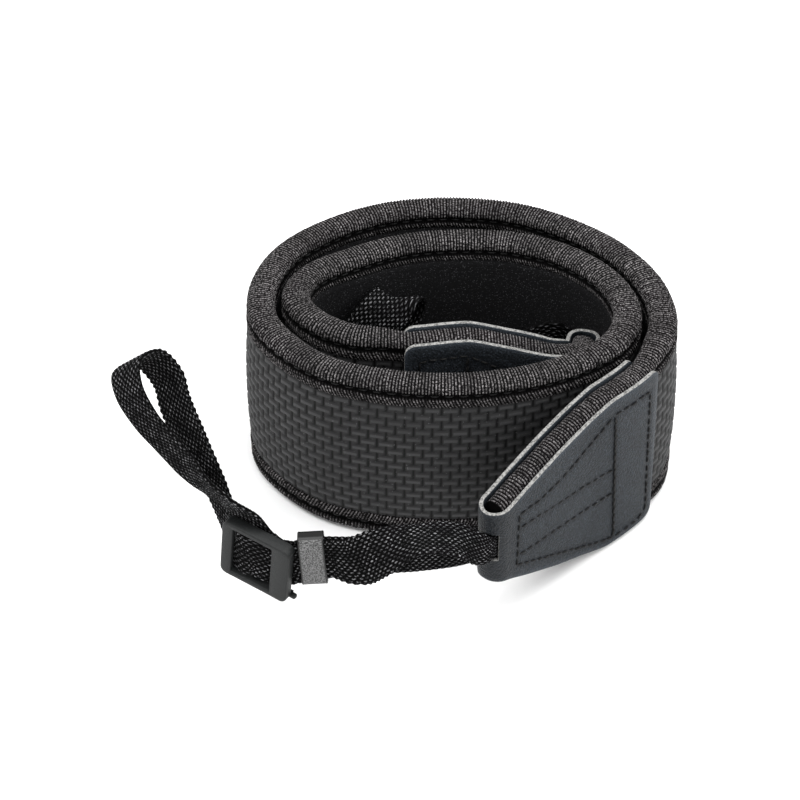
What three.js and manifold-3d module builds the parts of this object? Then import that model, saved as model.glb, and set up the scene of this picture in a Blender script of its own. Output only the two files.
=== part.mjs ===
// Camera neck strap, rolled up about two turns and standing on its long edge.
// Millimetres, +Z up. X runs to the right and Y away from the viewer.
import * as THREE from 'three';
import { mergeVertices } from 'three/addons/utils/BufferGeometryUtils.js';
import Module from 'manifold-3d';

// Strap
const HEIGHT = 38;
const HALF = 2.8;
const HALF_TIP = 2.0;
const TIP_MIDDLE = 18.75;
const BINDING_WALL = 0.75;
const GAP = 0.3;
const EDGE_ROUND = 1.9;
const EDGE_FLAT = 0.38;
const GROOVE_AT = 2.65;
const GROOVE_DEPTH = 0.35;
const HEM_OUTER = 5.1;
const HEM_INNER = 4.4;
const PANEL_EDGE = 0.3;
const PANEL_CROWN = 0.4;
const PAD_START = 3;
const BINDING_START = -0.4;
const STEP = 6;
const STEP_TURN = 0.21;

// Leather end
const LEATHER_RUN = 40.2;
const LEATHER_WALL = 1;
const LEATHER_MIDDLE = 2.8;
const SLOT_LOW = 15.9;
const SLOT_HIGH = 22.1;
const SLOT_FROM = 32;
const SLOT_TO = 148;

// Webbing, keeper and buckle
const WEB_THICK = 0.85;
const KEEPER = { length: 4.8, depth: 3.7, height: 11.4, wall: 0.5 };
const KEEPER_PLACE = { x: -15.9, y: -42.5, z: 17.1, turn: 0, drop: 4 };
const BUCKLE = {
  length: 14.7, height: 12.2, depth: 2.6, round: 0.9,
  left: 2.6, right: 3.8, flange: 0.85, plate: 1.1, bar: 2, barAt: -0.6, barDepth: 0.85, bevel: 0.25,
};
const BUCKLE_PLACE = { x: -26.75, y: -41.55, z: 15.35, turn: -32.7, drop: -5 };
const KEEPER_INNER_PLACE = { x: 9.5, y: 13.0, z: 14.6, turn: 0, drop: 0 };
const BUCKLE_INNER_PLACE = { x: -1.2, y: 10.55, z: 14.0, turn: 0, drop: 0 };

// Plan of the strap's middle line, from the outer tip to the inner tip.
const ROUTE = [
  // x, y: outer leather end and right side
  [17.5, -38.8], [31.2, -24.8], [44.8, -10.9], [49.6, 0.8], [48.2, 12.4], [43.3, 21.6], [36.6, 28.5],
  // back and left of the outer turn
  [24.4, 35.7], [11.8, 38.1], [-1.0, 36.9], [-12.4, 31.8], [-21.6, 23.6], [-25.9, 13.6], [-25.9, 3.4],
  // front of the inner turn
  [-21.0, -5.0], [-13.4, -11.6], [-3.5, -15.0], [9.2, -16.3], [21.4, -14.7], [32.1, -10.5], [40.2, -4.0],
  [43.1, 4.2], [40.2, 14.2], [32.4, 22.3],
  // back and left of the inner turn
  [22.0, 26.8], [11.6, 27.6], [1.2, 26.2], [-9.0, 21.8], [-17.4, 16.0], [-19.8, 9.4], [-16.8, 3.4],
  // inner leather end
  [-9.6, -1.6], [0.6, -2.5], [11.0, -1.1], [21.5, -0.5], [29.2, 0.2], [34.0, 3.6], [35.3, 9.0],
];

// Half height of the leather end against the distance from its fold.
const LEATHER_HALF = [
  // distance, half height
  [-4.4, 7.9], [0, 8.5], [5.6, 10.9], [13.8, 14.0], [22.2, 16.5], [27.5, 17.95], [38, 17.95], [40.2, 16.8],
];

// The outer webbing: one ribbon from the slot through keeper and buckle, round the lug loop and back.
// x, y, z of its middle, then the direction across it, then its width.
const WEB_OUTER = [
  // front strand, from the slot to the keeper
  [17.8, -39.9, 19.0, 0, 0, 1, 5.2],
  [17.0, -41.7, 19.0, 0, 0, 1, 5.2],
  [15.2, -43.7, 20.0, 0, 0.3, 1, 5.8],
  [10.5, -45.2, 24.0, 0, 1, 0.25, 7.6],
  [3.5, -46.1, 24.9, 0, 1, -0.12, 9.4],
  [-3.0, -46.4, 22.2, 0, 0.8, 0.55, 9.6],
  [-8.5, -45.1, 18.4, 0, 0.2, 1, 9.6],
  [-12.5, -43.2, 17.4, 0, 0, 1, 9.6],
  [-16.0, -43.1, 17.1, 0, 0, 1, 9.6],
  [-18.4, -42.9, 16.6, 0, 0, 1, 8.6],
  // buckle: behind the right bar, over the centre bar, behind the left bar
  [-21.4, -41.6, 15.4, 0, 0, 1, 8.6],
  [-24.2, -41.2, 15.3, 0, 0, 1, 9.2],
  [-26.7, -40.4, 15.4, 0, 0, 1, 9.2],
  [-28.4, -38.5, 15.6, 0, 0, 1, 8.8],
  [-29.7, -35.9, 16.4, 0, 0, 1, 7.8],
  // right limb of the lug loop
  [-31.6, -33.4, 19.6, 0.35, -0.2, 0.9, 7.4],
  [-34.0, -31.0, 23.0, 0.5, -0.35, 0.79, 8.2],
  [-36.2, -29.0, 27.0, 0.61, -0.38, 0.69, 9.4],
  [-38.8, -25.2, 31.7, 0.61, -0.38, 0.69, 9.8],
  [-41.3, -21.2, 36.1, 0.61, -0.38, 0.69, 9.8],
  [-42.7, -18.0, 39.4, 0.61, -0.38, 0.69, 9.8],
  [-46.2, -16.6, 43.0, 0.61, -0.38, 0.69, 9.8],
  // left limb
  [-49.8, -20.4, 44.0, 0.61, -0.38, 0.69, 9.8],
  [-49.7, -24.0, 41.6, 0.61, -0.38, 0.69, 9.8],
  [-46.9, -27.4, 37.4, 0.61, -0.38, 0.69, 9.8],
  [-43.0, -29.5, 33.0, 0.61, -0.38, 0.69, 9.8],
  [-39.4, -30.9, 29.4, 0.6, -0.42, 0.69, 9.0],
  [-35.6, -33.8, 27.1, 0.4, -0.6, 0.69, 6.4],
  [-31.4, -37.5, 26.2, 0.15, -0.68, 0.72, 5.2],
  [-27.2, -38.3, 24.5, 0.1, -0.5, 0.86, 4.6],
  [-24.0, -37.9, 18.8, 0, -0.15, 1, 5.6],
  // rear strand, straight behind the buckle and back to the slot
  [-21.4, -39.8, 16.6, 0, 0, 1, 8.6],
  [-18.6, -41.7, 16.9, 0, 0, 1, 9.0],
  [-16.0, -41.9, 17.1, 0, 0, 1, 9.6],
  [-13.4, -42.0, 17.2, 0, 0, 1, 9.6],
  [-8.0, -42.3, 17.4, 0, 0, 1, 9.6],
  [2.4, -42.5, 18.2, 0, 0, 1, 9.4],
  [10.5, -42.5, 18.7, 0, 0, 1, 7.4],
  [14.4, -41.8, 18.9, 0, 0, 1, 5.6],
  [15.7, -40.8, 19.0, 0, 0, 1, 5.2],
  [16.3, -39.7, 19.0, 0, 0, 1, 5.2],
];

// The inner webbing, the same ribbon lying in the hollow of the roll.
const WEB_INNER = [
  // front strand, from the slot to the keeper
  [34.6, 9.8, 19.0, 0, 0, 1, 5.2],
  [34.6, 11.8, 19.0, 0, 0, 1, 5.2],
  [33.2, 13.7, 19.9, 0, 0, 1, 5.6],
  [29.6, 13.9, 22.8, 0, 0, 1, 8.6],
  [24.4, 12.9, 21.0, 0, 0, 1, 9.6],
  [18.4, 12.4, 17.0, 0, 0, 1, 9.6],
  [13.4, 12.4, 15.0, 0, 0, 1, 9.6],
  [9.5, 12.4, 14.6, 0, 0, 1, 9.6],
  // buckle: behind the right bar, over the centre bar, behind the left bar
  [6.4, 12.4, 14.4, 0, 0, 1, 9.2],
  [3.0, 12.35, 14.1, 0, 0, 1, 9.4],
  [0.6, 12.0, 14.0, 0, 0, 1, 9.4],
  [-1.8, 11.5, 14.0, 0, 0, 1, 9.4],
  [-4.3, 12.2, 14.1, 0, 0, 1, 9.2],
  [-6.6, 13.7, 14.9, 0, 0, 1, 7.6],
  // lug loop, turned face on at its top
  [-8.5, 14.3, 17.6, 0.5, 0, 0.9, 7.0],
  [-8.6, 14.0, 20.9, 0.9, 0, 0.5, 8.4],
  [-6.0, 14.2, 25.0, 1, 0, 0.15, 9.6],
  [-2.4, 15.7, 28.6, 1, 0, 0, 9.8],
  [-0.4, 17.5, 29.6, 1, 0, 0, 9.8],
  [0.4, 19.0, 27.6, 1, 0, 0, 9.8],
  [-0.8, 18.8, 23.0, 1, 0, 0.2, 9.0],
  [-2.8, 17.8, 18.8, 0.7, 0, 0.7, 6.6],
  [-2.6, 16.6, 16.0, 0.3, 0, 1, 5.4],
  // rear strand, straight behind the buckle and back to the slot
  [0.4, 15.0, 14.6, 0, 0, 1, 7.4],
  [5.5, 14.1, 14.4, 0, 0, 1, 9.4],
  [9.5, 13.6, 14.6, 0, 0, 1, 9.6],
  [14.5, 14.2, 15.0, 0, 0, 1, 9.6],
  [22.0, 16.4, 17.2, 0, 0, 1, 9.6],
  [28.0, 17.4, 18.6, 0, 0, 1, 8.4],
  [32.6, 16.4, 18.9, 0, 0, 1, 6.2],
  [35.6, 13.8, 19.0, 0, 0, 1, 5.2],
  [36.2, 11.8, 19.0, 0, 0, 1, 5.2],
  [36.0, 9.8, 19.0, 0, 0, 1, 5.2],
];

const LOOKS = {
  knit: { color: 0x141415, roughness: 0.95 },
  rubber: { color: 0x353537, roughness: 0.6 },
  elastic: { color: 0x2c2829, roughness: 0.85 },
  leather: { color: 0x2f343a, roughness: 0.5 },
  webbing: { color: 0x171717, roughness: 0.8 },
  keeper: { color: 0x3f3f40, roughness: 0.4 },
  plastic: { color: 0x2b2d2f, roughness: 0.35 },
};

function piece(name, geometry, look) {
  const mesh = new THREE.Mesh(geometry, new THREE.MeshStandardMaterial({ ...LOOKS[look], metalness: 0 }));
  mesh.name = name;
  return mesh;
}

function between(table, x) {
  let row = 0;
  while (row < table.length - 2 && x > table[row + 1][0]) row += 1;
  const [x0, y0] = table[row];
  const [x1, y1] = table[row + 1];
  return THREE.MathUtils.mapLinear(THREE.MathUtils.clamp(x, x0, x1), x0, x1, y0, y1);
}

// The route as a smooth curve, read by the distance along it. It runs on straight past both ends.
const curve = new THREE.CatmullRomCurve3(ROUTE.map(([x, y]) => new THREE.Vector3(x, y, 0)), false, 'centripetal');
curve.arcLengthDivisions = 4000;
const LENGTH = curve.getLength();

function spot(s) {
  const inside = THREE.MathUtils.clamp(s, 0, LENGTH);
  const along = curve.getTangentAt(inside / LENGTH).setZ(0).normalize();
  const point = curve.getPointAt(inside / LENGTH).addScaledVector(along, s - inside);
  return { s, point, along, out: new THREE.Vector3(along.y, -along.x, 0) };
}

// Stations along the route: closer where it bends, and one at every place where something starts.
function makeStations() {
  const ends = [BINDING_START, PAD_START, 38, LEATHER_RUN, LEATHER_RUN + 0.4];
  const marks = [...ends, ...ends.map((s) => LENGTH - s).reverse()];
  const list = [spot(marks[0])];
  for (let m = 1; m < marks.length; m += 1) {
    const fine = 400;
    const effort = [0];
    let last = spot(marks[m - 1]);
    for (let i = 1; i <= fine; i += 1) {
      const next = spot(THREE.MathUtils.lerp(marks[m - 1], marks[m], i / fine));
      effort.push(effort[i - 1] + Math.max((next.s - last.s) / STEP, last.along.angleTo(next.along) / STEP_TURN));
      last = next;
    }
    const count = Math.max(1, Math.round(effort[fine]));
    for (let k = 1, i = 0; k <= count; k += 1) {
      while (i < fine && effort[i] < (effort[fine] * k) / count - 1e-9) i += 1;
      list.push(k === count ? spot(marks[m]) : spot(THREE.MathUtils.lerp(marks[m - 1], marks[m], i / fine)));
    }
  }
  return list;
}
const stations = makeStations();

// Half thickness, top and bottom of the strap at a distance along it.
function size(s) {
  const tip = Math.min(s, LENGTH - s);
  const full = THREE.MathUtils.smoothstep(tip, 38, 46);
  const leather = between(LEATHER_HALF, tip) - 0.5;
  const middle = THREE.MathUtils.lerp(TIP_MIDDLE, HEIGHT / 2, full);
  const halfHeight = THREE.MathUtils.lerp(leather, HEIGHT / 2, full);
  return {
    half: THREE.MathUtils.lerp(HALF_TIP, HALF, THREE.MathUtils.smoothstep(tip, 40.6, 48)),
    top: middle + halfHeight,
    bottom: middle - halfHeight,
    hem: THREE.MathUtils.lerp(0.7, 1, THREE.MathUtils.smoothstep(tip, 4, 20)),
  };
}

// A solid swept along stations. Each section is a closed outline of [outward, height] points.
function sweep(list, section) {
  const rings = list.map((station) => section(size(station.s)).map(
    ([t, z]) => station.point.clone().addScaledVector(station.out, t).setZ(z),
  ));
  return skin(rings, section(size(list[0].s)).map(([t, z]) => new THREE.Vector2(t, z)));
}

// Walls between equal rings, and a cap on each end whose triangles follow the flat outline.
function skin(rings, outline) {
  if (THREE.ShapeUtils.isClockWise(outline)) {
    return skin(rings.map((ring) => [...ring].reverse()), [...outline].reverse());
  }
  const count = outline.length;
  const positions = rings.flat().flatMap((p) => [p.x, p.y, p.z]);
  const index = [];
  for (let r = 0; r < rings.length - 1; r += 1) {
    for (let i = 0; i < count; i += 1) {
      const a = r * count + i;
      const b = r * count + ((i + 1) % count);
      index.push(a, b, b + count, a, b + count, a + count);
    }
  }
  const end = (rings.length - 1) * count;
  for (const [a, b, c] of THREE.ShapeUtils.triangulateShape(outline, [])) {
    index.push(a, c, b, end + a, end + b, end + c);
  }
  const geometry = new THREE.BufferGeometry();
  geometry.setAttribute('position', new THREE.Float32BufferAttribute(positions, 3));
  geometry.setIndex(index);
  geometry.computeVertexNormals();
  return facingOut(geometry);
}

// Turns every face round if the solid came out with a negative volume.
function facingOut(geometry) {
  const p = geometry.attributes.position;
  const i = geometry.index;
  const [a, b, c] = [new THREE.Vector3(), new THREE.Vector3(), new THREE.Vector3()];
  let volume = 0;
  for (let k = 0; k < i.count; k += 3) {
    a.fromBufferAttribute(p, i.getX(k));
    b.fromBufferAttribute(p, i.getX(k + 1));
    c.fromBufferAttribute(p, i.getX(k + 2));
    volume += a.dot(b.cross(c));
  }
  if (volume < 0) {
    for (let k = 0; k < i.count; k += 3) {
      const second = i.getX(k + 1);
      i.setX(k + 1, i.getX(k + 2));
      i.setX(k + 2, second);
    }
  }
  return geometry;
}

const runs = (from, to) => stations.filter(({ s }) => s > from - 1e-6 && s < to + 1e-6);

// Pad: hidden under the bindings at both edges, with the knit face standing out on the inward side.
const pad = piece('pad', sweep(runs(PAD_START, LENGTH - PAD_START), ({ half, top, bottom, hem }) => {
  const core = half - BINDING_WALL - GAP;
  const knit = half - 0.2;
  const edge = EDGE_ROUND - 1 + GAP;
  const step = HEM_INNER * hem + GAP;
  return [
    [core, bottom + edge], [core, top - edge], [-core, top - edge], [-core, top - step],
    [-knit, top - step - 0.2], [-knit, bottom + step + 0.2], [-core, bottom + step], [-core, bottom + edge],
  ];
}), 'knit');

// Embossed rubber face between the two hems, slightly crowned.
const outerPanel = piece(
  'outer_panel',
  sweep(runs(LEATHER_RUN + 0.4, LENGTH - LEATHER_RUN - 0.4), ({ half, top, bottom, hem }) => {
    const edge = HEM_OUTER * hem + GAP;
    const third = (top - bottom - 2 * edge) / 3;
    return [
      [half - BINDING_WALL, bottom + edge], [half - PANEL_EDGE, bottom + edge],
      [half + PANEL_CROWN, bottom + edge + third], [half + PANEL_CROWN, top - edge - third],
      [half - PANEL_EDGE, top - edge], [half - BINDING_WALL, top - edge],
    ];
  }),
  'rubber',
);

// Binding folded over one long edge. side is 1 at the top and -1 at the bottom.
function binding(name, side) {
  return piece(name, sweep(runs(BINDING_START, LENGTH - BINDING_START), ({ half, top, bottom, hem }) => {
    const at = (down) => (side > 0 ? top - down : bottom + down);
    const inner = half - BINDING_WALL;
    return [
      [half - 0.05, at(HEM_OUTER * hem)],
      [half - 0.05, at(GROOVE_AT + 0.5)],
      [half - GROOVE_DEPTH, at(GROOVE_AT)],
      [half, at(EDGE_ROUND)],
      [0.82 * half, at(0.39 * EDGE_ROUND)],
      [EDGE_FLAT * half, at(0)],
      [-EDGE_FLAT * half, at(0)],
      [-0.82 * half, at(0.39 * EDGE_ROUND)],
      [-half, at(EDGE_ROUND)],
      [-half + 0.1, at(HEM_INNER * hem)],
      [-inner, at(HEM_INNER * hem)],
      [-inner, at(EDGE_ROUND - 1)],
      [inner, at(EDGE_ROUND - 1)],
      [inner, at(HEM_OUTER * hem)],
    ];
  }), 'elastic');
}

// Leather end: one sheet from the cut edge on the outward side, round the fold, to the inward cut edge.
function leatherEnd(name, fromStart) {
  const tip = spot(fromStart ? 0 : LENGTH);
  const ahead = tip.along.clone().multiplyScalar(fromStart ? -1 : 1);
  const distance = (s) => (fromStart ? s : LENGTH - s);
  const side = stations.filter(({ s }) => distance(s) > 1 && distance(s) < LEATHER_RUN + 1e-6);
  side.push(tip);
  side.sort((a, b) => distance(b.s) - distance(a.s));
  const columns = side.map((st) => ({ point: st.point, out: st.out, run: distance(st.s) }));
  const bend = [SLOT_FROM, 61, 90, 119, SLOT_TO];
  const first = columns.length;
  for (const degrees of bend) {
    const a = THREE.MathUtils.degToRad(degrees);
    const out = tip.out.clone().multiplyScalar(Math.cos(a)).addScaledVector(ahead, Math.sin(a));
    columns.push({ point: tip.point, out, run: -LEATHER_MIDDLE * Math.min(a, Math.PI - a) });
  }
  for (const st of [...side].reverse()) {
    columns.push({ point: st.point, out: st.out.clone().negate(), run: distance(st.s) });
  }
  const inSlot = (c, r) => c >= first && c < first + bend.length - 1 && r === 1;
  const rows = (run) => {
    const half = between(LEATHER_HALF, run);
    return [TIP_MIDDLE - half, SLOT_LOW, SLOT_HIGH, TIP_MIDDLE + half];
  };
  return piece(name, sheet(columns, rows, inSlot), 'leather');
}

// A sheet of even thickness over a grid of columns and rows, with some cells left open.
function sheet(columns, rows, open) {
  const high = rows(columns[0].run).length;
  const positions = [];
  for (const face of [1, -1]) {
    for (const { point, out, run } of columns) {
      const p = point.clone().addScaledVector(out, LEATHER_MIDDLE + (face * LEATHER_WALL) / 2);
      for (const z of rows(run)) positions.push(p.x, p.y, z);
    }
  }
  const back = columns.length * high;
  const at = (c, r) => c * high + r;
  const solid = (c, r) => c >= 0 && r >= 0 && c < columns.length - 1 && r < high - 1 && !open(c, r);
  const index = [];
  const quad = (a, b, c, d) => index.push(a, b, c, a, c, d);
  for (let c = 0; c < columns.length - 1; c += 1) {
    for (let r = 0; r < high - 1; r += 1) {
      if (!solid(c, r)) continue;
      const [a, b, d, e] = [at(c, r), at(c + 1, r), at(c + 1, r + 1), at(c, r + 1)];
      quad(a, b, d, e);
      quad(back + e, back + d, back + b, back + a);
      if (!solid(c, r - 1)) quad(b, a, back + a, back + b);
      if (!solid(c, r + 1)) quad(e, d, back + d, back + e);
      if (!solid(c - 1, r)) quad(a, e, back + e, back + a);
      if (!solid(c + 1, r)) quad(d, b, back + b, back + d);
    }
  }
  const geometry = new THREE.BufferGeometry();
  geometry.setAttribute('position', new THREE.Float32BufferAttribute(positions, 3));
  geometry.setIndex(index);
  geometry.computeVertexNormals();
  return facingOut(geometry);
}

// Webbing: a flat ribbon along a table of middles, cross directions and widths.
function webbing(name, table) {
  const path = new THREE.CatmullRomCurve3(table.map(([x, y, z]) => new THREE.Vector3(x, y, z)), false, 'centripetal');
  path.arcLengthDivisions = 2000;
  const turns = table.map(([, , , x, y, z, w]) => [...new THREE.Vector3(x, y, z).normalize(), w]);
  const count = (table.length - 1) * 2;
  const rings = [];
  for (let i = 0; i <= count; i += 1) {
    const row = Math.min(Math.floor(i / 2), table.length - 2);
    const part = i / 2 - row;
    const mix = turns[row].map((v, k) => THREE.MathUtils.lerp(v, turns[row + 1][k], part));
    const point = path.getPoint((row + part) / (table.length - 1));
    const along = path.getTangent((row + part) / (table.length - 1));
    const across = new THREE.Vector3(mix[0], mix[1], mix[2]);
    across.addScaledVector(along, -across.dot(along)).normalize();
    const face = new THREE.Vector3().crossVectors(along, across);
    const [w, t] = [mix[3] / 2, WEB_THICK / 2];
    rings.push([[-w, 0], [-w + 0.5, -t], [w - 0.5, -t], [w, 0], [w - 0.5, t], [-w + 0.5, t]].map(
      ([a, b]) => point.clone().addScaledVector(across, a).addScaledVector(face, b),
    ));
  }
  const flat = [[-3, 0], [-2.5, -0.4], [2.5, -0.4], [3, 0], [2.5, 0.4], [-2.5, 0.4]];
  return piece(name, skin(rings, flat.map(([a, b]) => new THREE.Vector2(a, b))), 'webbing');
}

// A plate outline with rounded corners, centred on x, y.
function rounded(target, x, y, width, height, radius) {
  const [l, r, b, t] = [x - width / 2, x + width / 2, y - height / 2, y + height / 2];
  target.moveTo(l + radius, b);
  target.lineTo(r - radius, b);
  target.absarc(r - radius, b + radius, radius, -Math.PI / 2, 0, false);
  target.lineTo(r, t - radius);
  target.absarc(r - radius, t - radius, radius, 0, Math.PI / 2, false);
  target.lineTo(l + radius, t);
  target.absarc(l + radius, t - radius, radius, Math.PI / 2, Math.PI, false);
  target.lineTo(l, b + radius);
  target.absarc(l + radius, b + radius, radius, Math.PI, 1.5 * Math.PI, false);
  return target;
}

const wasm = await Module();
wasm.setup();

function welded(geometry) {
  const bare = geometry.clone();
  bare.deleteAttribute('normal');
  bare.deleteAttribute('uv');
  return mergeVertices(bare, 1e-4);
}

function solid(geometry) {
  const merged = welded(geometry);
  return new wasm.Manifold(new wasm.Mesh({
    numProp: 3,
    vertProperties: new Float32Array(merged.attributes.position.array),
    triVerts: new Uint32Array(merged.index.array),
  }));
}

function fromSolid(manifold) {
  const mesh = manifold.getMesh();
  const geometry = new THREE.BufferGeometry();
  geometry.setAttribute('position', new THREE.BufferAttribute(mesh.vertProperties, 3));
  geometry.setIndex(new THREE.BufferAttribute(mesh.triVerts, 1));
  geometry.computeVertexNormals();
  return geometry;
}

// Puts a piece in place: turned about Z, with its right end dropped.
function seated(mesh, { x, y, z, turn, drop }) {
  mesh.rotation.set(0, THREE.MathUtils.degToRad(-drop), THREE.MathUtils.degToRad(turn), 'ZYX');
  mesh.position.set(x, y, z);
  return mesh;
}

// Stands an extrusion up: its outline's X becomes the strap direction, its Y the height.
function upright(geometry) {
  return geometry.applyMatrix4(new THREE.Matrix4().makeBasis(
    new THREE.Vector3(1, 0, 0), new THREE.Vector3(0, 0, 1), new THREE.Vector3(0, -1, 0),
  ));
}

// Keeper: a flattened tube round both strands, running along the strap.
function keeper(name, place) {
  const { length, depth, height, wall } = KEEPER;
  const outline = rounded(new THREE.Shape(), 0, 0, depth, height, 0.6);
  outline.holes.push(rounded(new THREE.Path(), 0, 0, depth - 2 * wall, height - 2 * wall, 0.2));
  const geometry = new THREE.ExtrudeGeometry(outline, { depth: length, bevelEnabled: false, curveSegments: 2 });
  geometry.translate(0, 0, -length / 2);
  geometry.applyMatrix4(new THREE.Matrix4().makeBasis(
    new THREE.Vector3(0, 1, 0), new THREE.Vector3(0, 0, 1), new THREE.Vector3(1, 0, 0),
  ));
  return seated(piece(name, welded(geometry), 'keeper'), place);
}

// Buckle: a thin front frame, deeper flanges along its top and bottom, and a bar across the back.
function buckle(name, place) {
  const { length, height, depth, round, left, right, flange, plate, bar, barAt, barDepth, bevel } = BUCKLE;
  const windowLength = length - left - right;
  const windowAt = (left - right) / 2;
  const options = {
    depth: depth - 2 * bevel, bevelEnabled: true, bevelThickness: bevel, bevelSize: bevel,
    bevelOffset: -bevel, bevelSegments: 1, curveSegments: 3,
  };
  const block = new THREE.ExtrudeGeometry(rounded(new THREE.Shape(), 0, 0, length, height, round), options);
  const body = solid(upright(block.translate(0, 0, bevel - depth)));
  const box = (x, y, width, deep, high) => solid(new THREE.BoxGeometry(width, deep, high).translate(x, y + deep / 2, 0));
  const inner = height - 2 * flange;
  const opened = body
    .subtract(box(windowAt, -1, windowLength, depth + 2, inner))
    .subtract(box(0, plate, length + 2, depth, inner))
    .add(box(barAt, depth - barDepth, bar, barDepth - 0.05, inner + flange));
  return seated(piece(name, fromSolid(opened), 'plastic'), place);
}

const strap = new THREE.Group();
strap.add(
  pad,
  outerPanel,
  binding('binding_top', 1),
  binding('binding_bottom', -1),
  leatherEnd('leather_end_outer', true),
  leatherEnd('leather_end_inner', false),
  webbing('webbing_outer', WEB_OUTER),
  keeper('keeper_outer', KEEPER_PLACE),
  buckle('buckle_outer', BUCKLE_PLACE),
  webbing('webbing_inner', WEB_INNER),
  keeper('keeper_inner', KEEPER_INNER_PLACE),
  buckle('buckle_inner', BUCKLE_INNER_PLACE),
);

// The origin is the middle of the whole part's footprint, on the surface it stands on.
const bounds = new THREE.Box3().setFromObject(strap, true);
const middle = bounds.getCenter(new THREE.Vector3());
strap.position.set(-middle.x, -middle.y, -bounds.min.z);
strap.updateMatrixWorld(true);

export default strap;
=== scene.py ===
"""Looks for a rolled-up camera neck strap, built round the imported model."""

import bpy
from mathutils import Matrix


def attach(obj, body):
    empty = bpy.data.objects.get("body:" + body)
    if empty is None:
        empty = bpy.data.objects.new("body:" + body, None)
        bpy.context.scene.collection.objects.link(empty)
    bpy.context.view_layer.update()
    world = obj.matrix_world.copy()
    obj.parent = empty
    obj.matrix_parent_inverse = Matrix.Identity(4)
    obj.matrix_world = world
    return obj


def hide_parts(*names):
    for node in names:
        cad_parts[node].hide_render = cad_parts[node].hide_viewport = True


bl_info = {
    "name": "Camera neck strap",
    "version": (1, 0, 0),
    "blender": (4, 5, 0),
    "location": "View3D > Sidebar > Neck strap",
    "description": "Builds the pieces, finishes and stage of a rolled-up camera neck strap",
    "category": "Object",
}

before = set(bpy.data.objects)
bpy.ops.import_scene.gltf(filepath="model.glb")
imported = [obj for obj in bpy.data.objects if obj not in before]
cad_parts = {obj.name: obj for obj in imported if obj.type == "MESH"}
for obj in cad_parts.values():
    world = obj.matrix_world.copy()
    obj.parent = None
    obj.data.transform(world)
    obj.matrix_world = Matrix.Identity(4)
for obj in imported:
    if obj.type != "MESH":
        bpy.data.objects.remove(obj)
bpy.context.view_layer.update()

import math

import bmesh
import bpy
import numpy as np
from bpy.props import FloatProperty, FloatVectorProperty, PointerProperty
from mathutils import Vector

MM = 0.001

# Lengths below are in millimetres, in the frame that the strap was laid out in. SHIFT takes them to the part's frame.
SHIFT = np.array([0.118147, 4.852093, 0.0])

HEIGHT = 38.0
HALF = 2.8
# The dressed strap fills the leather end: the solid's half thickness there is 2.0.
HALF_TIP = 2.2
TIP_MIDDLE = 18.75
BINDING_WALL = 0.75
HEM_OUTER = 5.1
HEM_INNER = 4.4
HEM_FROM = 3.15
LEATHER_RUN = 40.2
LEATHER_WALL = 1.0
LEATHER_MIDDLE = 2.8
SLOT_LOW = 15.9
SLOT_HIGH = 22.1
WEB_THICK = 0.85
WEB_WIDTH = 9.6
YARN_STEPS = 5

# Plan of the strap's middle line, from the outer tip to the inner tip.
ROUTE = [
    # x, y: outer leather end and right side
    (17.5, -38.8), (31.2, -24.8), (44.8, -10.9), (49.6, 0.8), (48.2, 12.4), (43.3, 21.6), (36.6, 28.5),
    # back and left of the outer turn
    (24.4, 35.7), (11.8, 38.1), (-1.0, 36.9), (-12.4, 31.8), (-21.6, 23.6), (-25.9, 13.6), (-25.9, 3.4),
    # front of the inner turn
    (-21.0, -5.0), (-13.4, -11.6), (-3.5, -15.0), (9.2, -16.3), (21.4, -14.7), (32.1, -10.5), (40.2, -4.0),
    (43.1, 4.2), (40.2, 14.2), (32.4, 22.3),
    # back and left of the inner turn
    (22.0, 26.8), (11.6, 27.6), (1.2, 26.2), (-9.0, 21.8), (-17.4, 16.0), (-19.8, 9.4), (-16.8, 3.4),
    # inner leather end
    (-9.6, -1.6), (0.6, -2.5), (11.0, -1.1), (21.5, -0.5), (29.2, 0.2), (34.0, 3.6), (35.3, 9.0),
]

# Half height of the leather end against the distance from its fold.
LEATHER_HALF = [
    # distance, half height
    (-4.4, 7.9), (0, 8.5), (5.6, 10.9), (13.8, 14.0), (22.2, 16.5), (27.5, 17.95), (38, 17.95), (40.2, 16.8),
]

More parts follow.
